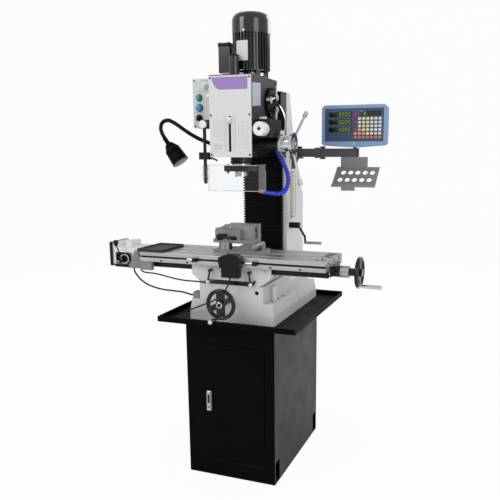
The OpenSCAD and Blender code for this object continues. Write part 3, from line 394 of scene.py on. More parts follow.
# ---------------------------------------------------------------- camera, light and floor
camera = add("camera", bpy.data.cameras.new("camera"))
bpy.context.scene.camera = camera
camera.location = (1.023, -2.456, 1.352)
camera.rotation_euler = (radians(90 - 11.5), radians(0.09), radians(19.92))
camera.data.lens = 44.35
camera.data.sensor_width = 36
camera.data.shift_x = -0.068
camera.data.shift_y = 0.054
camera.data.clip_end = 60

bpy.context.scene.view_settings.view_transform = "Standard"


def backdrop():
    """Pale floor that rises into a wall behind the machine."""
    rise = [(-9, 0)] + [(6 + 2 * sin(a), 2 - 2 * cos(a)) for a in np.linspace(0, pi / 2, 12)] + [(8, 7)]
    mesh = bpy.data.meshes.new("backdrop")
    low = -0.0005
    points = [(x, y, z + low) for y, z in rise for x in (-11, 11)]
    faces = [(2 * i, 2 * i + 1, 2 * i + 3, 2 * i + 2) for i in range(len(rise) - 1)]
    mesh.from_pydata(points, [], faces)
    mesh.shade_smooth()
    o = add("backdrop", mesh)
    material = bpy.data.materials.new("backdrop_white")
    material.use_nodes = True
    tree = material.node_tree
    shader = tree.nodes["Principled BSDF"]
    shader.inputs["Base Color"].default_value = (0.86, 0.86, 0.86, 1)
    shader.inputs["Roughness"].default_value = 0.8
    shader.inputs["Specular IOR Level"].default_value = 0.1
    white = tree.nodes.new("ShaderNodeEmission")
    white.inputs["Color"].default_value = (1, 1, 1, 1)
    white.inputs["Strength"].default_value = 1.0
    path = tree.nodes.new("ShaderNodeLightPath")
    seen = tree.nodes.new("ShaderNodeMath")
    seen.operation = "MAXIMUM"
    tree.links.new(path.outputs["Is Camera Ray"], seen.inputs[0])
    tree.links.new(path.outputs["Is Transmission Ray"], seen.inputs[1])
    share = tree.nodes.new("ShaderNodeMath")
    share.operation = "MULTIPLY"
    share.inputs[1].default_value = 0.94
    tree.links.new(seen.outputs[0], share.inputs[0])
    mix = tree.nodes.new("ShaderNodeMixShader")
    tree.links.new(share.outputs[0], mix.inputs["Fac"])
    tree.links.new(shader.outputs[0], mix.inputs[1])
    tree.links.new(white.outputs[0], mix.inputs[2])
    tree.links.new(mix.outputs[0], tree.nodes["Material Output"].inputs["Surface"])
    mesh.materials.append(material)


def lamp(name, place, target, size, watts):
    light = bpy.data.lights.new(name, "AREA")
    light.shape = "RECTANGLE"
    light.size, light.size_y = size
    light.energy = watts
    o = add(name, light)
    o.location = place
    o.rotation_euler = (Vector(target) - Vector(place)).to_track_quat("-Z", "Y").to_euler()


def studio():
    world = bpy.data.worlds.new("studio")
    bpy.context.scene.world = world
    world.use_nodes = True
    world.node_tree.nodes["Background"].inputs["Color"].default_value = (1, 1, 1, 1)
    world.node_tree.nodes["Background"].inputs["Strength"].default_value = 0.62
    lamp("key", (-2.6, -3.6, 3.6), (0, 0, 1.0), (2.2, 2.2), 72)
    lamp("fill", (3.4, -2.6, 1.9), (0, 0, 0.9), (2.0, 2.6), 42)
    lamp("rim", (1.5, 3.4, 3.2), (0, 0, 1.2), (2.4, 1.6), 40)


backdrop()
studio()


# ---------------------------------------------------------------- cables
FEED_CABLE = [
    (-0.490, -0.200, 0.868), (-0.490, -0.200, 0.858), (-0.482, -0.206, 0.842), (-0.465, -0.212, 0.826),
    (-0.444, -0.220, 0.812), (-0.407, -0.228, 0.796), (-0.370, -0.230, 0.786), (-0.333, -0.230, 0.780),
    (-0.298, -0.230, 0.778), (-0.265, -0.230, 0.777), (-0.240, -0.230, 0.776), (-0.222, -0.230, 0.773),
    (-0.204, -0.230, 0.769), (-0.188, -0.230, 0.767), (-0.176, -0.230, 0.767)]
TABLE_CABLE = [
    (-0.414, -0.262, 0.870), (-0.414, -0.262, 0.864), (-0.404, -0.260, 0.857), (-0.388, -0.258, 0.854),
    (-0.366, -0.257, 0.853), (-0.340, -0.256, 0.851), (-0.310, -0.256, 0.846), (-0.275, -0.257, 0.840),
    (-0.244, -0.259, 0.836), (-0.214, -0.262, 0.834), (-0.184, -0.265, 0.834), (-0.158, -0.266, 0.834),
    (-0.130, -0.266, 0.834), (-0.100, -0.266, 0.834), (-0.060, -0.266, 0.834), (-0.020, -0.266, 0.834),
    (0.020, -0.266, 0.834), (0.060, -0.266, 0.834), (0.086, -0.266, 0.835), (0.100, -0.267, 0.840),
    (0.106, -0.269, 0.847), (0.106, -0.268, 0.852), (0.106, -0.262, 0.852)]
SWITCH_CABLE = [
    (0.014, -0.300, 0.869), (0.014, -0.300, 0.858), (0.009, -0.300, 0.842), (0.001, -0.301, 0.827),
    (-0.008, -0.302, 0.812), (-0.019, -0.303, 0.798), (-0.034, -0.304, 0.784), (-0.054, -0.304, 0.772),
    (-0.077, -0.303, 0.760), (-0.100, -0.299, 0.750), (-0.122, -0.294, 0.740), (-0.145, -0.289, 0.730),
    (-0.166, -0.286, 0.721), (-0.186, -0.282, 0.713), (-0.201, -0.272, 0.706), (-0.208, -0.258, 0.701),
    (-0.207, -0.243, 0.698), (-0.202, -0.233, 0.697), (-0.194, -0.228, 0.697), (-0.186, -0.228, 0.697)]


def line_mm(route):
    return smooth_line([Vector(p) / MM for p in route], 5)


def free_cable(name, line, radius, node):
    """Cable between two bodies, a fixed tube along its run that is parented to neither."""
    shape = Shape()
    shape.tube(line, radius, 12)
    o = shape.piece(name, CABLE, None, "rubber_black", 60)
    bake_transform(o)
    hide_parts(node)


def gland(name, point, direction, radius, body, length):
    """Tapered strain relief around a cable where it enters a housing."""
    shape = Shape()
    r, n = radius, length
    shape.turned([(0, -1), (r * 2.1, -1), (r * 2.1, n * 0.3), (r * 1.6, n * 0.36), (r * 1.3, n * 0.9),
                  (r * 1.1, n), (0, n)],
                 Vector(point), Vector(direction).normalized(), 20)
    shape.piece(name, PLASTIC, body, "plastic_black")


def cables():
    feed = line_mm(FEED_CABLE)
    meet = 50  # the sample of the tenth route point, halfway over the saddle's side
    free_cable("cable_feed_drop", feed[:meet + 1], 3.5, "cable_feed")
    free_cable("cable_feed_tail", feed[meet:], 3.5, "cable_feed")
    free_cable("cable_table_run", line_mm(TABLE_CABLE), 3.0, "cable_table")
    free_cable("cable_switch_run", line_mm(SWITCH_CABLE), 3.0, "cable_switch")
    gland("gland_feed_base", (-176, -230, 767), LEFT, 3.6, "stand", 10)
    gland("gland_switch", (14, -300, 870), DOWN, 3.1, "saddle", 8)
    gland("gland_base", (-186, -228, 697), LEFT, 3.1, "stand", 7)


cables()


# ---------------------------------------------------------------- rubber covers
def bellows():
    """Pleated curtain between the Z slide and the base, open behind, with folded side returns."""
    low, high = at("column_bellows")
    half, folds = high.x, 40
    pitch = (high.z - low.z) / folds
    shape = Shape()

    def fold(x, y, z):
        r, back = 5, high.y
        corner = [(x - r + r * sin(a), y + r - r * cos(a)) for a in (0, pi / 6, pi / 3, pi / 2)]
        ring = [(x, back)] + list(reversed(corner)) + [(-a, b) for a, b in corner] + [(-x, back)]
        return [shape.bm.verts.new((a, b, z)) for a, b in ring]

    rings = []
    for i in range(2 * folds + 1):
        z = high.z - i * pitch / 2
        out = i % 2 == 1
        if out:
            rings.append(fold(half, low.y, z + 0.9))
            rings.append(fold(half, low.y, z - 0.9))
        else:
            rings.append(fold(half - 6, low.y + 7, min(z + 0.7, high.z)))
            rings.append(fold(half - 6, low.y + 7, max(z - 0.7, low.z)))
    n = len(rings[0])
    for a, b in zip(rings, rings[1:]):
        for k in range(n):
            shape.bm.faces.new((a[k], a[(k + 1) % n], b[(k + 1) % n], b[k]))
    shape.bm.faces.new(rings[0])
    shape.bm.faces.new(list(reversed(rings[-1])))
    o = shape.piece("bellows_pleats", RUBBER, None, "rubber_black", 50)
    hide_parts("column_bellows")
    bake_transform(o)


def way_skirt():
    """Ribbed rubber cover that slopes from the saddle down to the column's foot."""
    low, high = at("way_cover")
    count = 22
    outline = []
    front, drop = high.z, low.z + 8
    for i in range(count * 2 + 1):
        t = i / (count * 2)
        y = low.y + 9.5 + t * (high.y - low.y - 9.5)
        z = front + t * (drop - front) - (2.6 if i % 2 else 0)
        outline.append((y, z))
    outline = [(low.y, low.z), (low.y, front)] + outline + [(high.y, low.z)]
    shape = Shape()
    shape.prism(outline, low.x, high.x, "yz")
    o = shape.piece("way_skirt", RUBBER, None, "rubber_black", 25)
    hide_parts("way_cover")
    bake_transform(o)
    bars = Shape()
    bars.plate((low.x + 2, high.y - 0.5, low.z + 1), (high.x - 2, high.y + 2, drop + 3), 0.6)
    for x in (-100, -50, 0, 50, 100):
        bars.screw((x, high.y - 0.6, low.z + 6), FRONT, 3, 1.4)
    bars.piece("way_skirt_clamp", OXIDE, "stand", "black_oxide")


bellows()
way_skirt()


# ---------------------------------------------------------------- head
def head_details():
    low, high = at("front_plate")
    y, right = low.y + 1.5, high.x
    top = high.z
    band = [(right - 14, top - 6), (-74, top - 6)]
    band += [(-36 - 38 * cos(a), top - 6 - 46 * sin(a)) for a in np.linspace(0.0, pi / 2, 10)[1:]]
    band += [(right - 14, top - 52)]
    Shape().prism(band, y - 0.35, y + 0.1).piece("plate_band", PURPLE, "head", "paint_white")
    ink = Shape()

    def rule(x1, z1, x2, z2):
        ink.plate((x1, y - 0.25, z1), (x2, y + 0.1, z2), 0)

    for k in range(27):
        z = 1355 + 5 * k
        long = 5 if k % 2 == 0 else 3
        rule(-18 - long, z - 0.35, -18, z + 0.35)
        rule(15, z - 0.35, 15 + long, z + 0.35)
    for x in (-25, -16, 12, 22):
        rule(x, 1352, x + 0.6, 1487)
    for k in range(7):
        rule(-70, 1410 + 9 * k, -33, 1410.5 + 9 * k)
        rule(34, 1410 + 9 * k, 74, 1410.5 + 9 * k)
    for x in (-70, -52, -33.5, 34, 54, 73.5):
        rule(x, 1410, x + 0.5, 1464.5)
    for z in (1366, 1383):
        rule(34, z, 74, z + 0.5)
        rule(34, z + 11, 74, z + 11.5)
        rule(34, z, 34.5, z + 11.5)
        rule(73.5, z, 74, z + 11.5)
    for k in range(3):
        rule(-70, 1364 + 6 * k, -36, 1365.4 + 6 * k)
    ink.piece("plate_scales", INK, "head", "paint_white")
    Shape().plate((-6.4, y - 0.9, 1473.5), (2.4, y + 6, 1479.5), 0.6).plate((-9, y - 2.2, 1457),
            (6, y - 0.7, 1480), 0.4).plate(
        (-8, y - 2.4, 1465), (14, y - 1.6, 1466.4), 0.2).piece(
        "depth_pointer", ALUMINIUM, "quill", "aluminium")
    Shape().plate((-7.2, low.y + 4, 1340), (3.2, low.y + 5.2, 1492), 0).piece("slot_shade", DARK, "head",
            "cast_grey")
    screws = Shape()
    for x in (-81, 81):
        for z in (1340, 1490, 1628):
            screws.screw((x, low.y + 0.2, z), FRONT, 3.4, 1.6)
    screws.piece("plate_screws", OXIDE, "head", "black_oxide")
    Shape().prism([(-226, 1522), (-143, 1529), (-143, 1614), (-226, 1608)], 87.8, 88.35, "yz").piece(
        "side_sticker", STICKER, "head", "paint_white")
    Shape().plate((100, -187.4, 1475.5), (130, -185.9, 1484), 0.4).piece("feed_label", PANEL, "head",
            "paint_white")
    plugs = Shape()
    plugs.screw((88, -70, 1448), RIGHT, 9, 3).screw((88, -60, 1414), RIGHT, 6, 2.5)
    plugs.screw((88, 18, 1620), RIGHT, 6, 3).screw((88, -205, 1414), RIGHT, 4, 2)
    plugs.turned([(0, -2), (11, -2), (11, 6), (8, 8), (0, 8)], (20, 20, 1640), UP, 6)
    plugs.piece("head_plugs", OXIDE, "head", "black_oxide")
    oil = Shape()
    oil.turned([(0, -1), (13, -1), (13, 4), (11, 5), (10, 3), (0, 3)], (-88, -120, 1520), LEFT, 32)
    oil.piece("oil_window", STEEL, "head", "steel_bright")


def selector_details():
    """Selector disc and its marks on the right of the head."""
    repaint("head_casting", SATIN,
            lambda c, n: c.x > 88.4 and (c.y + 35) ** 2 + (c.z - 1546) ** 2 < 61.5 ** 2)
    marks = Shape()
    for z, start in ((1566, 30), (1518, 210)):
        for k in range(5):
            a = radians(start + 30 * k)
            y, h = -35 + 24 * cos(a), z + 24 * sin(a)
            if (y + 35) ** 2 + (h - 1546) ** 2 < 52 ** 2:
                marks.plate((95.6, y - 1.6, h - 1.6), (96.3, y + 1.6, h + 1.6), 0.2)
    marks.piece("selector_marks", PANEL, "head", "paint_white")


def tilt_scale():
    """Graduated rim and clamp bolts of the swivel flange."""
    repaint("z_slide", ALUMINIUM,
            lambda c, n: c.y < 63.2 and n.y > -0.9 and c.x ** 2 + (c.z - 1468) ** 2 > 112 ** 2)
    shape = Shape()
    r, y = 120, 46.0
    for k in range(-45, 46, 3):
        a = radians(90 + k)
        long = 7 if k % 15 == 0 else 4
        c = Vector((cos(a), 0, sin(a)))
        t = Vector((-sin(a), 0, cos(a)))
        p = Vector((0, 0, 1468)) + c * (r - 0.1)
        quad = [p - t * 0.4, p + t * 0.4]
        shape.block([(q.x + c.x * h, yy, q.z + c.z * h) for h in (0, 0.4) for yy in (y + 3, y + 3 + long)
                     for q in quad])
    shape.piece("tilt_marks", DARK, "z_slide", "black_oxide")
    bolts = Shape()
    for a in (205, 270, 335):
        a = radians(a)
        bolts.bolt((99 * cos(a), 45.6, 1468 + 99 * sin(a)), FRONT, 9, 8)
    for a in (25, 155):
        a = radians(a)
        bolts.bolt((104 * cos(a), 45.9, 1468 + 104 * sin(a)), FRONT, 9, 7.5)
    bolts.piece("tilt_nuts", STEEL, "head", "steel_bright")


def panel_details():
    y = at("control_panel")[0].y
    bezels = Shape()
    for z, r in ((1568, 13.5), (1528, 15.5)):
        inner = r - 2.2
        profile = [(inner, -0.5), (r, -0.5), (r, 1.6), (r - 1, 2.6), (inner, 2.6), (inner, -0.5)]
        bezels.turned(profile, (-190, y, z), FRONT, 32)
    bezels.piece("button_bezels", OXIDE, "head", "black_oxide")
    Shape().turned([(0, 8.6), (10.4, 8.6), (10.2, 10), (8, 11.4), (4, 12.2), (0, 12.4)], (-190, y, 1568),
                   FRONT).piece(
        "start_cap", GREEN, "start_button", "button_green")
    Shape().turned([(0, 8.6), (12.4, 8.6), (12.2, 10.2), (9, 12), (5, 12.8), (0, 13)], (-190, y, 1528),
                   FRONT).piece(
        "stop_cap", BLUE, "stop_button", "button_blue")
    dome = Shape()
    dome.turned([(0, -0.5), (14.2, -0.5),
                 (14.2, 3)] + [(13 * cos(a), 4 + 9 * sin(a)) for a in np.linspace(0, pi / 2, 8)],
                (-163, y, 1613), FRONT, 40)
    dome.piece("power_lamp", LENS, "head", "button_green")
    ring = Shape()
    ring.turned([(13.4, -0.4), (17, -0.4), (17, 2.4), (15.8, 3.6), (13.4, 3.6), (13.4, -0.4)],
                (-163, y, 1613), FRONT, 40)
    ring.turned([(0, -0.4), (11, -0.4), (11, 4), (9, 6), (0, 6)], (-146, y, 1575), FRONT, 32)
    ring.piece("panel_rings", ALUMINIUM, "head", "aluminium")
    screws = Shape()
    for x in (-211, -105):
        for z in (1456, 1634):
            screws.screw((x, y + 0.2, z), FRONT, 3.2, 1.6)
    screws.piece("panel_screws", OXIDE, "head", "black_oxide")
    prints = Shape()
    for x, z, w in ((-190, 1593, 20), (-190, 1550, 26), (-190, 1554, 18), (-165, 1634, 34), (-205, 1509, 16),
                    (-178, 1509, 14)):
        prints.plate((x - w / 2, y - 0.25, z - 1), (x + w / 2, y + 0.1, z + 0.8), 0)
    for k in range(5):
        a = radians(30 + 30 * k)
        cx, cz = -190 + 17.5 * cos(a), 1488 + 17.5 * sin(a)
        prints.plate((cx - 0.9, y - 0.25, cz - 0.9), (cx + 0.9, y + 0.1, cz + 0.9), 0)
    prints.piece("panel_prints", INK, "head", "paint_white")


head_details()
selector_details()
tilt_scale()
panel_details()


def motor_details():
    y, top = -20, at("fan_cover")[0].z
    plate = Shape()
    curve = [(76.6 * cos(radians(a)), y + 76.6 * sin(radians(a))) for a in range(-118, -76, 4)]
    back = [(75.4 * cos(radians(a)), y + 75.4 * sin(radians(a))) for a in range(-78, -120, -4)]
    plate.prism(curve + back, 1708, 1784, "xy")
    plate.piece("motor_plate", PANEL, "head", "paint_white")
    box = Shape()
    high_z = 1785
    box.plate((-138, y - 28, high_z - 12), (-84, y + 32, high_z + 3), 2.5)
    for x, yy in ((-131, y - 22), (-91, y - 22), (-131, y + 26), (-91, y + 26)):
        box.screw((x, yy, high_z + 3), UP, 3.5, 2)
    box.piece("terminal_lid", PLASTIC, "head", "motor_black")
    can = Shape()
    can.turned([(0, 82), (19.6, 82), (19.6, 86), (17, 89), (0, 89)], (-36, -112, 1640), UP, 40)
    can.turned([(17, 2), (19.8, 2), (19.8, 9), (17, 9), (17, 2)], (-36, -112, 1640), UP, 40)
    can.piece("capacitor_cap", PLASTIC, "head", "motor_black")
    bolts = Shape()
    for a in (45, 135, 225, 315):
        x, yy = 66 * cos(radians(a)), y + 66 * sin(radians(a))
        bolts.bolt((x, yy, 1640), UP, 6.5, 41, 35)
    bolts.piece("motor_bolts", STEEL, "head", "steel_bright")
    screws = Shape()
    for a in (30, 150, 270):
        c = Vector((cos(radians(a)), sin(radians(a)), 0))
        screws.screw(Vector((0, y, top + 7)) + c * 77, c, 4, 2.4)
    screws.piece("fan_screws", STEEL, "head", "steel_bright")


def neck_and_hose():
    neck = [(-60, -170, 1400), (-60, -170, 1391), (-68, -172, 1383), (-84, -174, 1378), (-106, -177, 1380),
            (-130, -180, 1390), (-163, -180, 1402), (-196, -180, 1418), (-230, -180, 1438),
            (-256, -180, 1455),
            (-280, -180, 1469), (-302, -180, 1478), (-322, -180, 1476), (-337, -180, 1464),
            (-341, -180, 1446),
            (-335, -180, 1426), (-322, -180, 1404)]
    hose = [(80, 0, 1400), (80, 0, 1392), (88, 0, 1380), (102, 0, 1362), (114, 0, 1336), (128, 0, 1310),
            (141, 0, 1284),
            (150, -2, 1258), (154, -5, 1230), (151, -14, 1206), (143, -28, 1188), (126, -46, 1181),
            (104, -62, 1183),
            (84, -76, 1187), (68, -88, 1191)]
    ribs = Shape()
    for p, t in rings_along(neck[1:], 3.4)[1:-3]:
        ribs.turned([(6.9, -1.2), (8.1, -0.7), (8.1, 0.7), (6.9, 1.2), (6.9, -1.2)], p, t, 14)
    ribs.piece("lamp_neck_ribs", OXIDE, "head", "lamp_black")
    beads = Shape()
    for p, t in rings_along(hose[1:], 13.5):
        beads.turned([(7.2, -6.4), (9.4, -4.6), (9.8, 0), (9.0, 4.2), (7.2, 6.2), (7.2, -6.4)], p, t, 20)
    beads.piece("hose_links", HOSE, "head", "hose_blue")
    repaint("coolant_hose", ORANGE, lambda c, n: c.y < -87 and c.z < 1300)
    repaint("coolant_hose", PLASTIC, lambda c, n: c.z > 1391.5 and c.x < 95)
    end, aim = Vector(neck[-1]), Vector((82, 0, -110)).normalized()
    head = Shape()
    for d, r in ((54, 31.0), (84, 33.0), (96, 33.7), (113, 34.8)):
        head.turned([(r - 1.5, -1.5), (r + 0.8, -1.0), (r + 0.8, 1.0), (r - 1.5, 1.5), (r - 1.5, -1.5)],
                    end + aim * d, aim, 40)
    head.piece("lamp_head_rings", OXIDE, "head", "lamp_black")
    glass = Shape()
    glass.turned([(0, 115.6), (32.4, 115.6), (32.4, 116.4), (24, 117.4), (0, 118)], end, aim, 40)
    glass.piece("lamp_glass", LAMP_GLASS, "head", "chrome")


motor_details()
neck_and_hose()


# ---------------------------------------------------------------- readout
def seven_segments(shape, x, y, z, w, h, digit):
    """Seven-segment digit from its lower left corner."""
    t = w * 0.16
    on = {0: "abcdef", 1: "bc", 8: "abcdefg"}[digit]
    bars = {"a": (t, h - t, w - t, h), "g": (t, (h - t) / 2, w - t, (h + t) / 2), "d": (t, 0, w - t, t),
            "f": (0, h / 2 + t / 2, t, h - t), "b": (w - t, h / 2 + t / 2, w, h - t),
            "e": (0, t, t, h / 2 - t / 2), "c": (w - t, t, w, h / 2 - t / 2)}
    for s in on:
        x1, z1, x2, z2 = bars[s]
        shape.plate((x + x1, y - 0.3, z + z1), (x + x2, y + 0.1, z + z2), 0)


def readout():
    low, high = at("dro_display")
    left, right, bottom, top = low.x + 14, high.x - 14, 1395, high.z - 14
    y = low.y + 2
    Shape().plate((left + 0.4, y - 0.6, bottom + 0.4), (right - 0.4, y + 0.05, top - 0.4), 0.2).piece(
        "readout_fascia", FASCIA, "dro_display", "display_blue")
    y -= 0.6
    windows, digits = Shape(), Shape()
    rows = [top - 34, top - 66, top - 98]
    for z in rows:
        windows.plate((left + 18, y - 0.5, z - 2), (left + 121, y + 0.1, z + 20), 0.3)
        for k in range(3, 7):
            seven_segments(digits, left + 22 + 13.8 * k, y - 0.5, z + 1.5, 9.2, 15, 0)
        digits.plate((left + 74.4, y - 0.8, z + 1.5), (left + 76, y - 0.4, z + 3.1), 0)
    windows.plate((left + 158, y - 0.5, top - 33), (right - 12, y + 0.1, top - 11), 0.3)
    for k in range(2):
        seven_segments(digits, left + 163 + 11.5 * k, y - 0.5, top - 30, 8, 14, 8 if k else 1)
    windows.piece("readout_windows", SCREEN, "dro_display", "display_blue")
    digits.piece("readout_digits", DIGIT, "dro_display", "button_green")
    reds = Shape()
    for z in rows:
        reds.turned([(0, -0.2), (6.6, -0.2), (6.6, 0.9), (5.4, 1.8), (0, 1.9)], (left + 137, y, z + 9),
                    FRONT, 24)
    reds.piece("axis_keys", RED, "dro_display", "plastic_black")
    layout = [".wyywww", ".wyywww", ".wyywww", ".oyywww", "ooollll", "rrrrrrr"]
    palette = {"w": ("white", KEY_WHITE), "y": ("yellow", KEY_YELLOW), "o": ("orange", KEY_ORANGE),
               "l": ("lime", KEY_GREEN),
               "r": ("red", KEY_RED)}
    for code, (word, material) in palette.items():
        keys = Shape()
        for row, line in enumerate(layout):
            for column, c in enumerate(line):
                if c == code:
                    x, z = left + 137 + 17.8 * column, top - 44 - 15.6 * row
                    keys.plate((x - 6.2, y - 1.5, z - 5.2), (x + 6.2, y + 0.1, z + 5.2), 1.2)
        keys.piece("keys_" + word, material, "dro_display", "knob_white")
    middle = 374
    trim = Shape()
    trim.turned([(0, 0), (5, 0), (5, 1.4), (4, 2.2), (0, 2.4)], (middle, low.y, 1385), FRONT, 24)
    trim.piece("readout_badge_screw", ALUMINIUM, "dro_display", "aluminium")
    back = Shape()
    for k in range(9):
        back.plate((middle - 60, high.y - 0.2, 1440 + 9 * k), (middle + 60, high.y + 0.5, 1443 + 9 * k), 0.2)
    for x in (low.x + 9, high.x - 9):
        for z in (1392, high.z - 14):
            back.screw((x, high.y, z), BACK, 3.2, 1.2)
    back.piece("readout_back_vents", PLASTIC, "dro_display", "plastic_black")
    repaint("dro_outer_arm", OXIDE, lambda c, n: c.x > 385.5)
    repaint("dro_outer_arm", TRAY, lambda c, n: c.z < 1329)
    repaint("dro_inner_arm", PLASTIC, lambda c, n: c.z > 1370.5 or c.z < 1323.5)
    repaint("dro_bracket", PLASTIC, lambda c, n: c.z > 1369)


readout()


# ---------------------------------------------------------------- table, vise and power feed
def table_details():
    front = at("table")[0].y
    # painted shade: the side faces below the table top, the rail among them, take the black oxide finish for
    # their unlit underside
    repaint("table", OXIDE, lambda c, n: c.z < 907 and abs(n.z) < 0.9)
    # painted shade: the inside of the front T-slot groove is near-black
    repaint("table", DARK,
            lambda c, n: c.y < front + 8.5 and c.z > 922 and c.z < 932.5 and c.y > front + 0.01)
    screws = Shape()
    for x in (-300, -180, 180, 300):
        screws.screw((x, front + 0.2, 914), FRONT, 4, 1.8)
    for y2 in (-210, -122):
        screws.screw((409, y2, 905), RIGHT, 6, 4)
    screws.piece("table_screws", OXIDE, "table", "black_oxide")
    mesh = Shape()
    lo = at("end_tray")[0]
    for i in range(9):
        for k in range(14):
            x, y2 = lo.x + 12 + i * 11.5, lo.y + 12 + k * 12
            mesh.plate((x, y2, lo.z + 6.6), (x + 7, y2 + 7, lo.z + 7.4), 0)
    mesh.piece("tray_grid", OXIDE, "table", "black_oxide")


def vise_details():
    x, y, top = -40, -165, 947.5
    scale = Shape()
    for k in range(-6, 7):
        long = 6 if k % 3 == 0 else 4
        scale.plate((x + 108.5, y - 44.4, top + 22 + 1.6 * k),
                    (x + 108.5 + long, y - 43.8, top + 22.5 + 1.6 * k), 0)
    scale.piece("vise_scale", PANEL, "table", "paint_white")
    jaws = Shape()
    jaws.plate((x - 10, y + 21.82, top + 84), (x + 108, y + 23, top + 113), 0.1)
    jaws.piece("fixed_jaw_plate", STEEL, "table", "steel_bright")
    move = Shape()
    move.plate((x - 10, y - 5, top + 84), (x + 108, y - 3.84, top + 113), 0.1)
    for sx in (14, 84):
        move.screw((x + sx, y - 34, top + 105), FRONT, 4, 1.6)
    move.piece("moving_jaw_plate", STEEL, "vise_jaw", "steel_bright")
    bolts = Shape()
    for sx in (14, 84):
        bolts.screw((x + sx, y + 52, top + 100), BACK, 6, 3)
    bolts.screw((x + 120, y - 49, top + 30), FRONT, 8, 4)
    bolts.bolt((x + 142, y, top + 24), UP, 10, 9)
    bolts.piece("vise_bolts", STEEL, "table", "steel_bright")
    jack = Shape()
    for k in range(5):
        z = top + 17 + 5.2 * k
        jack.turned([(26.5, -1.1), (27.4, -0.6), (27.4, 0.6), (26.5, 1.1), (26.5, -1.1)],
                    (x - 14, y - 22, z), UP, 40)
    jack.piece("vise_jack_rings", IRON, "table", "cast_grey")
    repaint("vise_base", SPUN, lambda c, n: c.z < top + 43.5 and c.z > top + 15.2 and c.x < x + 14)
    grip = Shape()
    a, b = Vector((x + 42, y - 100, top + 72.2)), Vector((x + 70, y - 100, top + 71))
    d = (b - a).normalized()
    grip.turned([(0, -1), (6, -1), (7.6, 2), (8.2, 12), (7.2, 25), (6, 28.2), (0, 28.6)], a, d, 24)
    grip.piece("vise_grip", PLASTIC, "vise_handle", "plastic_black")


def feed_details():
    x0, front = -440, -250
    repaint("power_feed", PLASTIC, lambda c, n: c.x < x0 - 117.2 and n.x < 0.9)
    repaint("power_feed", PLASTIC, lambda c, n: c.z < 880.5)
    repaint("power_feed", SATIN, lambda c, n: c.y < front + 1 and n.y < -0.9 and c.x > x0 - 106)
    ring = Shape()
    ring.turned([(16.4, -0.3), (21.5, -0.3), (21.5, 0.5), (16.4, 0.5), (16.4, -0.3)], (x0 - 61, front, 905),
                FRONT, 48)
    ring.piece("feed_ring", PANEL, "table", "paint_white")
    marks = Shape()
    for k in range(10):
        a = radians(-45 + 30 * k)
        cx, cz = x0 - 61 + 24.2 * cos(a), 905 + 24.2 * sin(a)
        if cz < 931:
            marks.plate((cx - 0.8, front - 0.35, cz - 0.8), (cx + 0.8, front + 0.1, cz + 0.8), 0)
    marks.plate((x0 - 98, front - 0.3, 889), (x0 - 86, front + 0.1, 891), 0).plate(
        (x0 - 98, front - 0.3, 894), (x0 - 90, front + 0.1, 896), 0)
    marks.piece("feed_marks", PANEL, "table", "paint_white")
    pointer = Shape()
    pointer.plate((x0 - 61.6, front - 24.5, 906), (x0 - 60.4, front - 23.6, 913), 0.2)
    pointer.piece("feed_pointer", PANEL, "feed_dial", "paint_white")
    grips = Shape()
    for k in range(12):
        a = 2 * pi * k / 12
        cx, cz = x0 - 61 + 9.1 * cos(a), 905 + 9.1 * sin(a)
        grips.plate((cx - 0.8, front - 23.6, cz - 0.8), (cx + 0.8, front - 8.4, cz + 0.8), 0.3)
    grips.piece("feed_knob_ribs", PLASTIC, "feed_dial", "plastic_black")
    screws = Shape()
    for sx in (-98, -34):
        for z in (888, 928):
            screws.screw((x0 + sx, front + 0.1, z), FRONT, 2.6, 1.2)
    for y2, z in ((front + 18, 886), (front + 18, 960), (-146, 886), (-146, 960)):
        screws.screw((x0 - 134, y2, z), LEFT, 4, 1.4)
    screws.piece("feed_screws", STEEL, "table", "steel_bright")


def saddle_details():
    front = -286
    screws = Shape()
    for x, z in ((-15, 926), (59, 926), (0, 950), (58, 950)):
        screws.screw((x, front - 38, z), FRONT, 3, 1.4)
    screws.piece("switch_screws", OXIDE, "saddle", "black_oxide")
    repaint("table_stops", STEEL, lambda c, n: 77 < c.x < 108.5 or -175 < c.x < -151.5)
    lid = Shape()
    lid.plate((4, front - 38.8, 914), (44, front - 37.8, 944), 0.5)
    lid.piece("switch_lid", PLASTIC, "saddle", "plastic_black")
    oiler = Shape()
    oiler.turned([(0, -0.5), (5, -0.5), (5, 3), (3, 5), (0, 5.4)], (150, -262, 892), FRONT, 20)
    oiler.piece("saddle_oilers", STEEL, "saddle", "steel_bright")
    gib = Shape()
    for y2 in (-220, -170, -120):
        gib.screw((171.6, y2, 872), RIGHT, 4, 3)
        gib.screw((-171.6, y2, 872), LEFT, 4, 3)
    gib.piece("gib_screws", OXIDE, "saddle", "black_oxide")
    for node in ("saddle_lock_left", "saddle_lock_right"):
        repaint(node, WHITE, lambda c, n: c.z < 847.5)


table_details()
vise_details()
feed_details()
saddle_details()


# ---------------------------------------------------------------- handwheels and cranks
def dial_marks(name, body, centre, radius, start, count, group, lengths, half, height):
    """Engraved marks around a dial that turns about x; the first of each group is the longer one."""
    marks = Shape()
    for k in range(count):
        a = 2 * pi * k / count
        out, along = Vector((0, cos(a), sin(a))), Vector((0, -sin(a), cos(a)))
        foot = Vector(centre) + out * radius
        ends = [foot + along * s + out * h for h in (0, height) for s in (-half, half)]
        long = lengths[0] if k % group == 0 else lengths[1]
        marks.block([(x, v.y, v.z) for x in (start, start + long) for v in ends])
    marks.piece(name, DARK, body, "black_oxide")


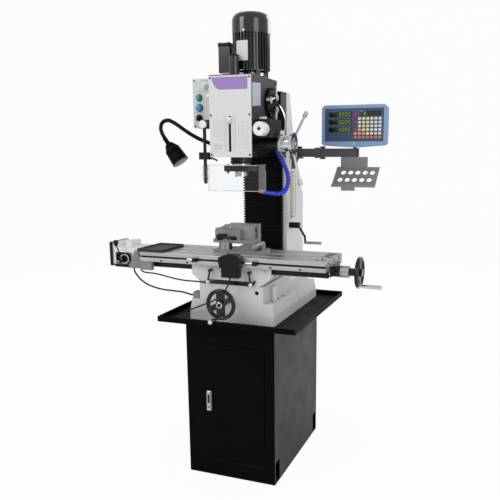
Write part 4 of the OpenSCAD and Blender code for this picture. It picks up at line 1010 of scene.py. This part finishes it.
def wheel_details():
    wheel_y, wheel_z, bore = -166, 894.5, 9.2

    def from_axis(c):
        return (c.y - wheel_y) ** 2 + (c.z - wheel_z) ** 2

    repaint("y_handwheel", CHROME, lambda c, n: abs(c.x + 12) < 5 and c.z < 735 and c.y < -366)
    repaint("x_handwheel", STEEL, lambda c, n: from_axis(c) < bore ** 2)
    repaint("x_handwheel", SPUN, lambda c, n: 429 < c.x < 463.2 and from_axis(c) > bore ** 2)
    repaint("x_handwheel", CHROME, lambda c, n: c.x > 503 and c.z < 846)
    dial_marks("x_dial_marks", "x_wheel", (0, wheel_y, wheel_z), 22.8, 432, 50, 5, (8, 4.5), 0.35, 0.45)
    y_hub = Shape()
    y_hub.turned([(8.5, -0.5), (12, -0.5), (12, 1.6), (10, 2.6), (8.5, 2.6), (8.5, -0.5)], (0, -370, 770.5),
                 FRONT, 32)
    y_hub.piece("y_wheel_nut", CHROME, "y_wheel", "chrome")
    x_hub = Shape()
    x_hub.turned([(8.2, -0.5), (12, -0.5), (12, 1.6), (10, 2.6), (8.2, 2.6), (8.2, -0.5)],
                (514, wheel_y, wheel_z), RIGHT, 32)
    x_hub.piece("x_wheel_nut", CHROME, "x_wheel", "chrome")
    repaint("z_crank", CHROME, lambda c, n: c.x > 159 and c.z < 955)
    repaint("z_scale", TAPE, lambda c, n: n.x > 0.9 and c.x > 111 and c.y < 193 and c.y > 167)


def spindle_details():
    keys = Shape()
    for s in (-1, 1):
        keys.plate((s * 21 - 4, -145, 1252.6), (s * 21 + 4, -135, 1256), 0.6)
    keys.piece("drive_keys", OXIDE, "spindle", "black_oxide")
    sleeve = Shape()
    sleeve.turned([(38.2, 0), (43.2, 0), (43.2, 5), (42, 6), (38.2, 6), (38.2, 0)], (0, -140, 1305.2), UP, 48)
    sleeve.piece("quill_seal", RUBBER, "head", "rubber_black")


def guard_details():
    frame_bars = Shape()
    frame_bars.tube([(-103, -226.6, 1201), (107, -226.6, 1201)], 1.2, 10)
    frame_bars.tube([(-103, -226.6, 1300), (107, -226.6, 1300)], 1.2, 10)
    frame_bars.piece("guard_edges", ALUMINIUM, "chip_guard", "aluminium")
    screws = Shape()
    for z in (1250, 1286):
        screws.screw((-108, -228, z), FRONT, 4, 2)
    screws.piece("guard_screws", STEEL, "chip_guard", "steel_bright")
    knob = Shape()
    knob.turned([(0, -0.5), (14, -0.5), (15, 2), (15, 11), (13.5, 13), (0, 13.4)], (-115, -236, 1457), FRONT,
                32)
    knob.piece("guard_pivot_knob", WHITE, "head", "knob_white")


def hub_details():
    """Engraved rim, end plate and round knobs of the feed hub."""
    feed_y, feed_z = -89, 1383
    rim = Shape()
    rim.turned([(43, 4), (49.6, 4), (49.9, 6), (49.9, 12), (49, 13.2), (43, 13.2), (43, 4)],
               (151, feed_y, feed_z), RIGHT, 64)
    rim.piece("feed_hub_rim", SPUN, "feed_hub", "chrome")
    dial_marks("feed_hub_marks", "feed_hub", (0, feed_y, feed_z), 49.8, 157, 40, 4, (5.6, 3.4), 0.4, 0.35)
    cap = Shape()
    cap.turned([(0, 57.8), (22, 57.8), (22, 59.4), (19, 60.6), (8, 60.6), (7, 59), (0, 59)],
               (151, feed_y, feed_z), RIGHT, 40)
    cap.piece("feed_hub_cap", ALUMINIUM, "feed_hub", "chrome")
    knobs = Shape()
    for a in (47, 167, 287):
        c = Vector((0, cos(radians(a)), sin(radians(a))))
        tip = Vector((219, feed_y, feed_z)) + c * 167
        d = (tip - Vector((200, feed_y, feed_z))).normalized()
        knobs.turned([(5, -17), (8.8, -16.4), (9.0, -13), (8.8, -8), (9.0, 0), (8.6, 4), (5, 6.6), (5, -17)],
                     tip, d, 28)
    knobs.piece("spoke_knobs", CHROME, "feed_hub", "chrome")
    fine_x, fine_y, fine_z = 115.5, -199.5, 1438
    knob = Shape()
    knob.turned([(0, 30), (24, 30), (25.4, 31), (24, 32.4), (10, 32.8), (8, 31.6), (0, 31.6)],
                (fine_x, fine_y, fine_z), FRONT, 48)
    knob.piece("fine_feed_face", WHITE, "fine_feed_knob", "knob_white")
    dot = Shape()
    dot.turned([(0, 31), (6, 31), (6, 33.4), (4.6, 33.9), (0, 34)], (fine_x, fine_y, fine_z), FRONT, 24)
    dot.piece("fine_feed_screw", OXIDE, "fine_feed_knob", "black_oxide")
    ribs = Shape()
    for k in range(36):
        a = 2 * pi * k / 36
        cx, cz = fine_x + 26.5 * cos(a), fine_z + 26.5 * sin(a)
        ribs.plate((cx - 0.7, -226, cz - 0.7), (cx + 0.7, -192, cz + 0.7), 0.2)
    ribs.piece("fine_feed_ribs", WHITE, "fine_feed_knob", "knob_white")


wheel_details()
spindle_details()
guard_details()
hub_details()


# ---------------------------------------------------------------- stand and column
def stand_details():
    repaint("cabinet", SATIN, lambda c, n: n.y < -0.9)
    repaint("base_casting", GREY,
            lambda c, n: c.x < -140 and c.z > 760.3 and c.z < 786.5 and c.y > -253 and c.y < -213)
    y = at("cabinet_door")[0].y
    pull = Shape()
    latch = at("door_latch")[0]
    lx, ly, lz = latch.x + 8.5, latch.y, 333
    pull.plate((lx - 9.6, y - 0.25, lz - 43), (lx + 9.6, y + 0.3, lz + 43), 0.1)
    pull.piece("latch_plate", ALUMINIUM, "door", "aluminium")
    red = Shape()
    red.turned([(0, -0.3), (4.2, -0.3), (4.2, 1.2), (3.4, 1.8), (0, 1.9)], (lx, ly, lz - 26), FRONT, 20)
    red.piece("latch_button", RED, "latch", "steel_bright")
    hollow = Shape()
    hollow.plate((lx - 5, ly - 0.35, lz - 8), (lx + 5, ly + 0.1, lz + 30), 0.3)
    hollow.piece("latch_recess", OXIDE, "latch", "black_oxide")
    rim = Shape()
    tl, th = at("chip_tray")
    for x in (tl.x, th.x - 3):
        rim.tube([(x + 1.3, tl.y + 4, th.z - 1.2), (x + 1.3, th.y - 4, th.z - 1.2)], 1.25, 10)
    for y2 in (tl.y, th.y - 3):
        rim.tube([(tl.x + 4, y2 + 1.3, th.z - 1.2), (th.x - 4, y2 + 1.3, th.z - 1.2)], 1.25, 10)
    rim.piece("tray_rim", SATIN, "stand", "sheet_black")
    feet = Shape()
    for x in (-165.5, 165.5):
        for y2 in (-255, 255):
            feet.turned([(0, 5), (13, 5), (13, 7.5), (8, 8), (0, 8)], (x, y2, 0), UP, 24)
            feet.bolt((x, y2, 0), UP, 9.5, 15, 8)
    feet.piece("floor_anchors", OXIDE, "stand", "black_oxide")


def base_details():
    # painted shade: the insides of a hole in the base's front and of three bolt holes in its top are
    # near-black
    repaint("base_casting", DARK,
            lambda c, n: (c.x - 112) ** 2 + (c.z - 803.5) ** 2 < 8.2 ** 2 and c.y > -261.9)
    repaint("base_casting", DARK, lambda c, n: 747.6 < c.z < 760.4 and (c.x - 160) ** 2 < 6.2 ** 2
            and min((c.y - y) ** 2 + (c.x - 160) ** 2 for y in (-210, -150, -90)) < 6.3 ** 2)
    tape = Shape()
    for k in range(40):
        long = 9 if k % 5 == 0 else 5
        z = 1066 + 5 * k
        tape.plate((112.0, 171, z), (112.25, 171 + long, z + 0.5), 0)
    tape.piece("z_scale_marks", DARK, "stand", "black_oxide")
    screws = Shape()
    for z in (1064, 1262):
        screws.screw((112, 186, z), RIGHT, 3, 1.2)
    screws.piece("z_scale_screws", OXIDE, "stand", "black_oxide")
    cap = Shape()
    cap.plate((-60, 354, 860), (60, 358.5, 1100), 1.5)
    for x in (-52, 52):
        for z in (868, 1092):
            cap.screw((x, 358.3, z), BACK, 3.6, 1.6)
    cap.piece("column_back_cover", ENAMEL, "stand", "paint_white")


stand_details()
base_details()
